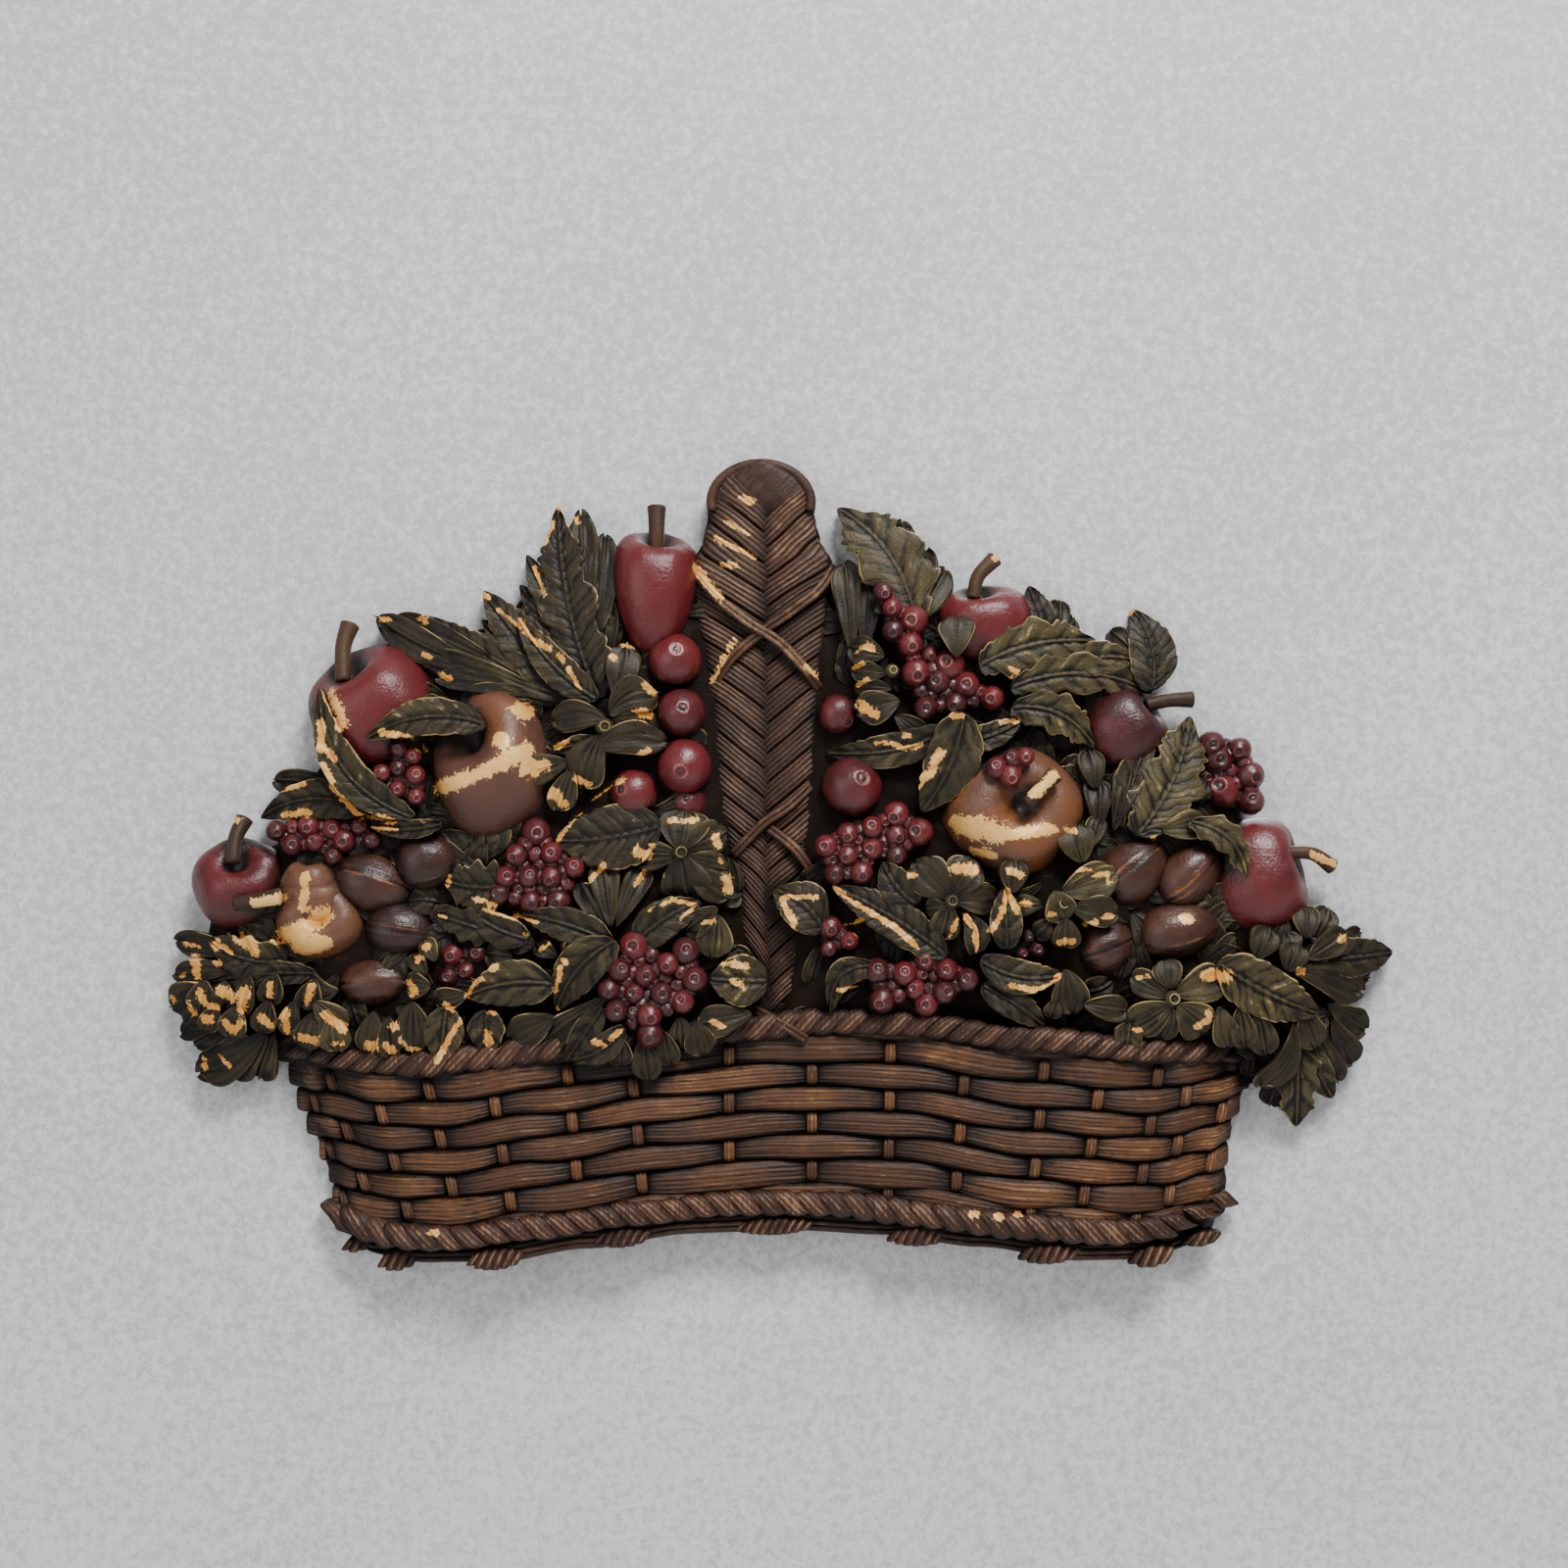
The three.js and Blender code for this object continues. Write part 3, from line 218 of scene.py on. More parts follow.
# The knobs at the hearts of the blossoms: x, z, radius, front h.
HEARTS = [
    (-73, 55, 4, 28), (-42, 4, 4.2, 27), (67.7, -15.5, 3.6, 31), (112.5, -16.5, 3.6, 32),
    (157, -55, 4, 32), (-19.5, -48.5, 3, 29), (-88, -34, 3, 29), (44, 78, 3, 25),
]
# Leaves and petals: x and z of the foot, x and z of the tip, width, how far the midrib bows to
# its left, h of the foot, h of the tip, form.
LEAVES = [
    # the spray at the top left
    (-76, 66, -93.5, 147, 24, 4, 19, 9, "oak"), (-83, 92, -106.5, 127, 12, 2, 15, 9, "blade"),
    (-84, 88, -109.5, 114.5, 11, 1, 15, 9, "blade"), (-81, 98, -84, 142.5, 13, 0, 16, 9, "petal"),
    (-77, 92, -74, 133.5, 14, 0, 16, 10, "petal"), (-74, 76, -73, 106, 10, 0, 16, 13, "petal"),
    (-80, 68, -124.5, 112, 19, 3, 18, 10, "blade"), (-92, 78, -125, 100, 12, 2, 16, 10, "blade"),
    (-84, 66, -132, 92, 15, 2, 18, 13, "petal"), (-88, 66, -149, 101.5, 16, 2, 17, 11, "blade"),
    (-100, 70, -148, 84, 12, 0, 17, 14, "petal"), (-100, 68, -141, 75.5, 10, -2, 17, 15, "petal"),
    (-96, 66, -131, 67.5, 9, -2, 17, 16, "petal"), (-118, 82, -158, 100, 10, 0, 15, 11, "petal"),
    (-124, 80, -167, 100.5, 13, 3, 15, 11, "petal"), (-76, 66, -109, 100.5, 13, 3, 23, 17, "blade"),
    # blossom beside the handle, left
    (-68, 66, -64.5, 89, 13, 0, 22, 18, "petal"), (-71, 60, -52, 69, 15, 4, 25, 20, "petal"),
    (-70, 58, -54, 59, 10, 0, 24, 20, "petal"), (-72, 58, -94, 58, 12, -2, 26, 22, "petal"),
    (-76, 50, -94, 45.5, 7, 0, 25, 23, "blade"), (-74, 52, -82, 31, 16, -2, 27, 25, "petal"),
    (-78, 46, -49, 49.5, 13, 3, 27, 24, "petal"), (-88, 41, -107, 36, 12, 0, 26, 24, "petal"),
    (-86, 38, -92, 21.5, 11, 0, 25, 23, "petal"),
    # leaves over the large apple and beside it, left
    (-150, 18, -187, 71, 14, 11, 27, 34, "blade"), (-120, 56, -169, 50, 14, -6, 34, 31, "blade"),
    (-132, 56, -146, 66, 9, 0, 32, 28, "petal"), (-180, 31, -209.5, 33.5, 10, 0, 14, 11, "petal"),
    (-170, 22, -215.5, 18, 15, -6, 22, 15, "blade"), (-138, 16, -169, 15, 7, 2, 28, 24, "blade"),
    # the hanging sprays at the left end
    (-224, -36, -250.5, -33, 10, 0, 17, 11, "petal"), (-224, -43, -251, -46, 9, 0, 18, 12, "petal"),
    (-202, -40, -236, -31, 19, 4, 22, 17, "oak"), (-190, -45, -243, -51, 10, -2, 24, 15, "blade"),
    (-236, -51, -253, -60, 14, 0, 18, 11, "petal"),
    (-236, -48, -238.5, -60, 11, 0, 21, 20, "petal"), (-228, -48, -229, -59, 9, 0, 22, 21, "petal"),
    (-217, -46, -221.5, -61, 9, 0, 24, 22, "petal"), (-206, -45, -210, -57, 10, 0, 25, 23, "petal"),
    (-181, -52, -197, -46, 14, 5, 25, 21, "petal"),
    (-190, -47, -194.5, -60, 10, 0, 26, 24, "petal"), (-228, -62, -249, -71, 9, 0, 15, 10, "petal"),
    (-226, -66, -243, -76, 8, 0, 15, 10, "petal"), (-236, -56, -244.5, -67, 9, 0, 18, 15, "petal"),
    (-231, -58, -237, -69, 8, 0, 20, 18, "petal"), (-222, -58, -226.5, -71, 11, 0, 22, 20, "petal"),
    (-209, -56, -213, -69, 10, 0, 24, 22, "petal"), (-199, -56, -202, -70.5, 9, 0, 25, 23, "petal"),
    (-211, -68, -241, -87, 18, 3, 18, 10, "fan"), (-211, -70, -227, -89, 14, 0, 18, 11, "fan"),
    (-208, -70, -216, -89, 13, 0, 18, 11, "fan"), (-190, -60, -194, -75, 11, 0, 27, 26, "petal"),
    (-183, -62, -181, -76, 12, 0, 28, 27, "petal"),
    (-190, -56, -178, -67.5, 11, 0, 28, 26, "petal"),
    (-166, -60, -168, -76.5, 11, 0, 28, 27, "petal"),
    (-160, -62, -159.5, -78, 9, 0, 29, 28, "petal"),
    (-150, -56, -150, -76.5, 15, 0, 30, 29, "petal"),
    (-143, -50, -153, -49.5, 10, 0, 27, 25, "petal"), (-145, -46, -151, -37, 7, 0, 26, 24, "petal"),
    (-141, -40, -146.5, -31, 7, 0, 25, 24, "petal"),
    # between the nuts and the big cluster, left
    (-136, -58, -139, -80.5, 15, 0, 31, 29, "blade"), (-128, -53, -141, -56, 9, 0, 29, 28, "petal"),
    (-120, -59, -120, -77, 14, 0, 31, 30, "blade"), (-93, -49, -129, -54, 17, -3, 30, 28, "blade"),
    (-93, -62, -110.5, -71, 13, 0, 30, 29, "petal"), (-70, -53, -96, -71, 12, 0, 30, 28, "fan"),
    (-73, -58, -88.5, -80.5, 10, 0, 31, 29, "blade"),
    (-64, -66, -87, -79.5, 10, 3, 32, 30, "blade"), (-66, -70, -66, -81.5, 9, 0, 30, 29, "petal"),
    (-111, -9, -139, -7, 21, 2, 25, 22, "oak"), (-116, -29, -142.5, -21, 14, 0, 25, 22, "oak"),
    (-103, -31, -129.5, -18, 12, 2, 27, 24, "blade"),
    (-69, -33, -107, -21, 13, -2, 28, 25, "blade"), (-110, -38, -121, -37, 10, 0, 25, 24, "petal"),
    (-101, -33, -110, -32, 9, 0, 25, 24, "petal"), (-92, -38, -101, -33, 7, 0, 26, 25, "petal"),
    (-68, -31, -92.5, -60, 17, -4, 31, 26, "blade"), (-50, 15, -93.5, 9, 24, 2, 24, 22, "blade"),
    (-70, -26, -74, 0.5, 14, 0, 27, 22, "fan"), (-68, -26, -57.5, -3, 12, 0, 27, 22, "fan"),
    (-72, -26, -83, -9, 9, 0, 26, 22, "petal"), (-61, -33, -33.5, -15.5, 15, 2, 29, 25, "blade"),
    # blossom beside the handle, lower left
    (-42, 5, -40, 20.5, 19, 0, 24, 21, "petal"), (-42, 3, -39, -13.5, 19, 0, 25, 24, "petal"),
    (-43, 3, -60.5, 3, 12, 0, 24, 22, "petal"), (-41, 5, -24, 13, 13, 0, 24, 21, "petal"),
    (-41, 2, -23.5, -3, 11, 0, 25, 22, "petal"), (-40, -2, -22.5, -14, 12, 0, 24, 22, "petal"),
    (-27, -18, -40, -28, 10, 0, 27, 25, "petal"), (-27, -21, -29, -38.5, 14, 0, 26, 25, "petal"),
    (-6.5, -48, -30.5, -47, 19, 0, 25, 27, "blade"),
    (-13, -61, -34.5, -65.5, 12, 0, 26, 28, "petal"), (-42, -62, -41, -75, 10, 0, 28, 26, "petal"),
    (-36, -64, -33, -77.5, 12, 0, 28, 26, "petal"), (-49, -68, -46, -81.5, 9, 0, 28, 26, "petal"),
    (-57, -70, -55, -87.5, 11, 0, 28, 26, "petal"),
    # the spray at the top right
    (54, 96, 22, 146, 29, -7, 20, 11, "oak"), (48, 104, 49, 139.5, 13, 0, 17, 11, "petal"),
    (52, 100, 58.5, 128, 12, 0, 17, 11, "petal"), (54, 98, 66.5, 120, 13, 0, 17, 11, "petal"),
    (46, 112, 30, 136, 9, 2, 17, 11, "blade"), (50, 106, 36, 124, 9, 0, 17, 12, "petal"),
    (28, 84, 25, 122, 13, 0, 18, 13, "fan"), (33, 84, 35, 115, 13, 0, 18, 14, "fan"),
    (27, 92, 23, 76, 7, 0, 16, 13, "blade"), (41, 84, 27, 88, 11, 0, 23, 20, "petal"),
    (42, 77, 28, 78.5, 8, 0, 23, 20, "petal"), (44, 71, 29, 72, 7, 0, 22, 19, "petal"),
    (70, 83, 70, 99.5, 16, 0, 27, 26, "fan"), (109, 90, 101, 114, 12, 0, 15, 10, "blade"),
    (112, 92, 113.5, 107.5, 9, 0, 14, 10, "petal"), (112, 91, 119.5, 100.5, 9, 0, 14, 10, "petal"),
    (104, 94, 96.5, 109, 7, 0, 14, 11, "petal"), (79, 80, 128.5, 90.5, 21, 4, 25, 16, "oak"),
    (92, 71, 152, 69.5, 17, 7, 24, 12, "oak"), (116, 79, 145, 83, 13, 3, 19, 13, "blade"),
    (151, 70, 144, 104.5, 18, -4, 15, 9, "blade"), (146, 84, 135, 95, 9, 0, 12, 9, "petal"),
    (92, 63, 127, 47, 17, 6, 26, 21, "oak"), (71, 49, 97, 58.5, 10, -2, 28, 25, "blade"),
    # around the right blossom and the gourd
    (73, 61, 56, 20.5, 20, 3, 29, 24, "blade"), (68, 54, 17, 45, 13, 4, 25, 17, "blade"),
    (47, 66, 30, 61.5, 13, 0, 24, 22, "petal"), (45, 60, 57.5, 51, 9, 0, 23, 22, "petal"),
    (143, 11, 167, 60, 26, -4, 26, 15, "oak"), (138, 14, 151, 54, 14, 2, 24, 18, "blade"),
    (134, 13, 141, 37.5, 13, 0, 24, 22, "fan"), (128, 12, 128, 33, 13, 0, 23, 21, "fan"),
    (127, 30, 124.5, 45.5, 10, 0, 22, 20, "petal"), (153, 13, 171, 17, 11, 0, 27, 26, "petal"),
    (164, 17, 187, -6, 13, 6, 29, 30, "oak"), (121, 0, 117, 15.5, 14, 0, 27, 26, "petal"),
    (124, 6, 128, 18.5, 8, 0, 24, 23, "petal"),
    # the blossoms along the rim, right
    (16, -27, -4.5, -11, 18, -3, 25, 22, "blade"), (66, -38, 19.5, -9.5, 15, -2, 28, 24, "blade"),
    (40, -42, 19, -62, 11, -9, 27, 26, "blade"), (54, -17, 40, 0.5, 14, 2, 27, 24, "blade"),
    (67, -14, 53.5, 0, 16, 0, 29, 27, "petal"), (68, -13, 76, 1.5, 15, 0, 29, 28, "petal"),
    (69, -15, 86.5, -14, 12, 0, 29, 27, "petal"), (66, -17, 57.5, -18.5, 7, 0, 29, 27, "petal"),
    (67, -17, 64, -30.5, 12, 0, 29, 27, "petal"), (92, -12, 93, 1, 11, 0, 30, 31, "petal"),
    (105, -17, 93.5, -17, 8, 0, 27, 26, "petal"), (90, -35, 89, -9.5, 12, 0, 31, 30, "blade"),
    (77, -37, 73, -20, 10, -3, 30, 29, "blade"), (79, -39, 113.5, -45, 13, -4, 30, 28, "blade"),
    (80, -49, 106, -66.5, 12, 1, 29, 27, "blade"), (112, -12, 134, -4, 14, 0, 30, 29, "petal"),
    (109, -11, 113, -23, 12, 0, 31, 30, "petal"), (116, -18, 134.5, -20, 12, 0, 30, 30, "petal"),
    (109, -22, 102, -30, 8, 0, 28, 26, "petal"), (114, -22, 114, -34, 11, 0, 30, 29, "petal"),
    (114, -43, 117, -60.5, 14, 0, 28, 27, "petal"), (121, -57, 139, -59.5, 10, 0, 29, 28, "petal"),
    (110, -55, 108, -63, 7, 0, 28, 27, "petal"), (156, -54, 141, -46, 10, 0, 29, 28, "petal"),
    (156, -51, 154, -39.5, 11, 0, 30, 30, "petal"),
    (158, -53, 178.5, -45.5, 14, 0, 30, 29, "petal"), (159, -57, 171, -68, 15, 0, 31, 29, "petal"),
    (157, -58, 153, -71, 9, 0, 30, 28, "petal"), (156, -57, 140, -67, 14, 0, 30, 28, "petal"),
    (140, -64, 138, -77.5, 11, 0, 29, 28, "blade"),
    # the hanging spray at the right end
    (175, -40, 218, -61.5, 20, -2, 31, 24, "blade"), (191, -39, 197, -26.5, 12, 0, 27, 25, "petal"),
    (204, -44, 208, -33, 12, 0, 26, 26, "petal"), (208, -38, 205, -28.5, 9, 0, 24, 22, "petal"),
    (213, -31, 213, -18.5, 10, 0, 22, 20, "petal"), (217, -31, 222.5, -19, 11, 0, 21, 18, "petal"),
    (213, -39, 229, -29, 11, 0, 24, 21, "petal"), (224, -35, 237, -29, 8, 0, 18, 14, "petal"),
    (222, -40, 252, -37.5, 15, 0, 19, 10, "blade"), (226, -42, 241, -47.5, 8, 0, 17, 12, "petal"),
    (206, -44, 236.5, -53, 18, 2, 24, 15, "fan"), (176, -58, 180, -74, 10, 0, 28, 27, "petal"),
    (184, -58, 187, -74.5, 10, 0, 28, 27, "petal"), (192, -60, 196, -77.5, 11, 0, 26, 25, "petal"),
    (207, -64, 195, -91, 13, 5, 24, 20, "fan"), (211, -60, 217, -75.5, 12, 0, 23, 21, "petal"),
    (222, -58, 239.5, -69, 14, 0, 18, 12, "fan"), (224, -64, 235, -82.5, 13, 0, 17, 11, "fan"),
    (216, -66, 228, -90, 13, 0, 18, 12, "fan"), (212, -76, 227, -98, 12, 0, 17, 10, "blade"),
    (210, -74, 212, -110, 18, 0, 18, 9, "oak"), (207, -78, 201, -100, 12, 0, 17, 10, "fan"),
]
# Where gold was rubbed on: the width of each touch, then the points x, z along it.
GOLD = [
    # the left end
    (4, -242, -40, -241, -47), (4, -233, -34, -232, -34), (2, -229, -34, -226, -37),
    (4, -222, -31, -218, -32, -215.5, -37), (3, -232.5, -41, -231, -41),
    (3, -238, -53, -236, -58, -231, -59), (4, -229, -52, -225, -55), (4, -219, -52, -221, -59),
    (2.5, -208.5, -49, -209, -54), (3, -191.5, -50, -193.5, -57), (3, -244, -58, -241, -62),
    (4, -236, -64, -234, -64), (3, -228, -65, -225, -69, -221, -65), (3.5, -213, -62, -209, -66),
    (4, -203, -61, -202, -69), (4, -196, -71, -190.5, -72), (3, -186, -61, -178, -67),
    (1.5, -183, -73, -178, -73), (4, -168, -74, -166, -74), (3, -161, -74, -158, -76),
    (1.8, -155, -71, -152, -75, -147, -75.5), (2.5, -145.5, -34, -144.5, -34),
    (3, -148.5, -39.5, -147.5, -39), (4, -152, -49, -150, -52), (2.5, -239.5, -81, -239, -85),
    (3, -252, -56, -251, -57), (3, -248, -47, -247, -47), (3, -158, -66, -157, -66),
    (2, -247, -34, -240, -35), (2, -232, -80, -228, -84),
    # the leaves over the large apple
    (3, -184, 69, -179, 60, -179, 55), (2.5, -186, 57, -186, 46), (2.5, -183, 45, -181, 42),
    (2.5, -186, 39, -182, 33), (3, -185, 31, -174, 20), (2.5, -162, 53, -150, 50, -147, 46),
    (3, -205, 19, -197, 20.5, -194, 20), (1.8, -167, 14, -157, 13.5), (2.5, -226, 17, -223, 17),
    (3, -172, 19, -158, 17), (2, -206, 30, -196, 32),
    # the spray at the top left
    (2.5, -166, 100, -163, 100), (2.5, -150, 100, -147, 99), (2.5, -148, 85, -145, 84),
    (2.5, -141, 77, -137, 75), (2.5, -125, 111, -122, 109),
    (2.2, -108.6, 99.5, -104, 92, -95.7, 87), (2, -92, 85, -90, 82), (1.6, -88, 79, -83, 71),
    (2.5, -94, 147, -90, 144), (2, -95, 140, -99, 131), (2, -86, 142, -85, 140),
    (1.6, -103, 122, -98, 108), (1.6, -118, 104, -108, 96),
    # the blossom beside the handle
    (2.5, -56, 72, -53, 69), (4, -59, 61, -55, 60), (2.5, -58, 44, -55, 46), (3, -93, 47, -88, 50),
    (2.5, -84, 34, -79, 32), (4, -102, 38, -97, 39.5), (4, -94, 29, -90, 24),
    (2.5, -70, 84, -69, 83), (2, -66, 89, -62, 88), (2.2, -106, 37, -103, 40),
    (2, -71, 31, -66, 34),
    # left of the middle
    (3, -139.5, -22, -138.5, -22), (2.5, -136, -6, -138, -12), (2, -105, -29, -104, -29),
    (2, -99, -35, -95, -32.5), (2, -89, -39, -88, -40), (2, -90, -42, -92.5, -52),
    (2, -92, -59, -91.5, -60), (2, -122, -47, -126, -49, -128, -54), (2, -137, -57, -134, -59),
    (3, -118, -42, -117, -42), (3, -118, -60, -117, -60), (4, -120, -69, -119, -72),
    (2.2, -129, -62, -135, -70, -140, -80), (2, -66, -67, -70, -71), (2.5, -76, -72, -72, -73),
    (1.6, -76, 28, -84, 20, -92, 9), (2, -73, -1, -80, -8), (2.5, -57, -4, -60, -8.5),
    (4, -59, 4, -55, 3), (2.5, -54, 7, -53, 7), (1.6, -51, -4.5, -49, -5),
    (1.5, -47, 17.5, -43, 17), (1.5, -41, 17, -35, 18), (2.5, -28, 11, -27, 7),
    (1.6, -26, 1, -25, 0), (3.5, -23, -7, -23, -11), (1.5, -54, -19, -45, -15, -36, -17, -42, -23),
    (1.5, -33, -24, -28, -23.5), (1.8, -25, -40.5, -15, -41.5), (2, -21, -48, -17, -49),
    (2.2, -29, -64, -25, -66), (1.6, -110, -20, -126, -14), (1.6, -100, -24, -122, -19),
    # right of the middle
    (1.4, 0, -14, 15, -14), (2, -1, -15, 4, -25), (2.2, 20, -10, 30, -17, 44, -25, 54, -34),
    (2, 20, -10, 22, -21, 31, -30), (1.6, 22, -51.5, 30, -50.5), (1.8, 37, 48.5, 42, 48.5),
    (2.2, 44, 48.5, 49, 46.5, 56, 48), (3, 63, 45, 60, 37, 54, 31), (4, 31, 64, 37, 60),
    (2, 30, 86, 34, 88.5, 36, 87), (2, 28.5, 79.5, 32, 81), (2, 30, 72, 34, 74.5),
    (2, 68, 59, 72, 59.5), (1.8, 88, 57, 95, 57.5), (1.8, 92, 79, 95, 78, 92, 75),
    (2, 141, 101, 144, 103.5), (2, 49, 51.5, 51, 51.5),
    # the rim on the right
    (1.8, 51, -5, 53, -5), (3.5, 69, -2, 77, -3), (2.2, 91, -3, 96, -5),
    (2, 90, -11, 88, -20, 83, -27), (1.8, 90, -11, 94, -20), (2.2, 73, -21, 77, -27, 78, -35),
    (1.5, 70, -23, 67, -30), (2.5, 95, -17, 99, -16.5), (2, 107, -20.5, 109, -20.5),
    (1.6, 118, -2.5, 123, -2.5), (1.6, 125, -5, 131, -4, 130.5, -8), (2, 129.5, -21.5, 132, -21.5),
    (2, 122, -25.5, 126, -23.5), (2.2, 111, -32, 117, -31.5),
    (2, 91, -49, 100, -51, 107, -50, 111, -45.5), (1.8, 115, 13.5, 118, 13),
    (5, 171, -45, 178, -46), (2, 171, -60, 172, -63, 166, -66), (1.5, 143, -46.5, 148, -45.5),
    (1.5, 141, -67, 144, -67.5), (3, 227, -31, 228, -31), (3, 209, -44, 211, -44),
    # stalks, nuts, handle and basket
    (3, -213, -16, -203, -14), (3, 100, 28, 109, 36), (2.5, 86, 124, 88, 125),
    (2.5, 216, 3, 226, -1), (2.5, 150, 10, 151, 10), (3, 162, -22.5, 164, -22),
    (3, -36, 121, -31, 114, -26, 109), (2, -28, 133, -12, 125), (2.5, -26, 122, -20, 122),
    (3, -17, 149, -13, 148), (2, -20, 92, -30, 74), (1.4, -24, 140, -14, 134), (1.5, 14, 76, 9, 80),
    (2.2, -143, -150, -141, -150), (2.2, 76, -142, 78, -142), (2.2, 86, -143, 88, -143),
    (2.2, 94, -142, 96, -142),
    # broad patches on the gold fruit
    (4.5, -142, 30, -128, 34, -114, 40, -104, 46), (6, -107, 62.5, -105, 62.5),
    (4, -115, 50, -113, 50), (3, -194, -5, -194, -19), (6, -205, -30, -196, -28, -186, -21),
    (5, -198, -35, -186, -33), (6.5, 71, 15, 80, 14, 86, 12), (3.5, 86, 11, 108, 14),
    (2.5, 76, 5, 84, 3),
]

# ---------------------------------------------------------------- helpers


def eased(stations, at):
    """The value of a station list at each place, eased between neighbouring stations."""
    places, values = np.array(stations, float).T
    at = np.clip(np.asarray(at, float), places[0], places[-1])
    low = np.clip(np.searchsorted(places, at, side="right") - 1, 0, len(places) - 2)
    u = (at - places[low]) / (places[low + 1] - places[low])
    return values[low] + (values[low + 1] - values[low]) * u * u * (3 - 2 * u)


def smooth(low, high, value):
    """0 below low, 1 above high, and a smooth step between them."""
    u = np.clip((value - low) / (high - low), 0, 1)
    return u * u * (3 - 2 * u)


def bell(value, width):
    """A bump of height 1 at 0 that falls off over width: exp(-(value / width) squared)."""
    return np.exp(-((value / width) ** 2))


def curve_through(points, count):
    """count places on the smooth curve through a few points: each coordinate is a sum of
    Hermite cubics whose slopes are the mean slopes of the neighbouring chords."""
    points = np.array(points, float)
    at = np.linspace(0, len(points) - 1, count)
    slope = np.gradient(points, axis=0)
    low = np.clip(at.astype(int), 0, len(points) - 2)
    u = (at - low)[:, None]
    start, end = points[low], points[low + 1]
    return (
        start * (2 * u**3 - 3 * u**2 + 1) + slope[low] * (u**3 - 2 * u**2 + u)
        + end * (3 * u**2 - 2 * u**3) + slope[low + 1] * (u**3 - u**2)
    )


def grid(*parts):
    """Stacks x, z and h, given as arrays that broadcast together, into points."""
    return np.stack(np.broadcast_arrays(*parts), axis=-1).astype(float)


def spread(field, reach):
    """A field blurred over reach cells: three running means along each axis, taken as
    differences of running sums."""
    for axis in (0, 1):
        for _ in range(3):
            sums = np.cumsum(field, axis=axis)
            field = (np.roll(sums, -reach, axis) - np.roll(sums, reach, axis)) / (2 * reach)
    return field


class Relief:
    """The height of the whole relief over the wall, on a grid of one-millimetre cells, blurred
    over close and over wide surroundings. within is 0 outside the outline and 1 well inside."""

    def __init__(self, mouldings):
        points = np.concatenate([points for moulding in mouldings for points in moulding.points])
        height = np.zeros(RELIEF_SIZE)
        column, row = self.cells(points)
        np.maximum.at(height, (column, row), points[:, 2])
        around = [np.roll(height, (i, k), (0, 1)) for i in (-1, 0, 1) for k in (-1, 0, 1)]
        height = np.where(height > 0, height, np.max(around, axis=0))
        solid = (height > 0).astype(float)
        self.near, self.far = (
            spread(height, reach) / np.maximum(spread(solid, reach), 0.02)
            for reach in (NEAR_REACH, FAR_REACH)
        )
        self.within = smooth(0.5, 0.95, spread(solid, 5))

    def cells(self, points):
        """The column and the row of the cell under each point."""
        return np.floor(points[:, :2] - RELIEF_LOW).astype(int).T

    def hollow(self, points):
        """How deep each point lies below its surroundings: 1 in a crevice, -1 on a crest. It is
        less on the plaque's outer sides, and nothing on its back."""
        # The paint turns this into painted shade in crevices and painted light on crests.
        column, row = self.cells(points)
        close = np.clip((self.near[column, row] - points[:, 2]) / NEAR_DEPTH, -1, 1)
        wide = np.clip((self.far[column, row] - points[:, 2]) / FAR_DEPTH, -1, 1)
        is_back = points[:, 2] < BACK_SKIN
        share = np.where(is_back, 0, 0.45 + 0.55 * self.within[column, row])
        return (0.5 * close + 0.5 * wide) * share


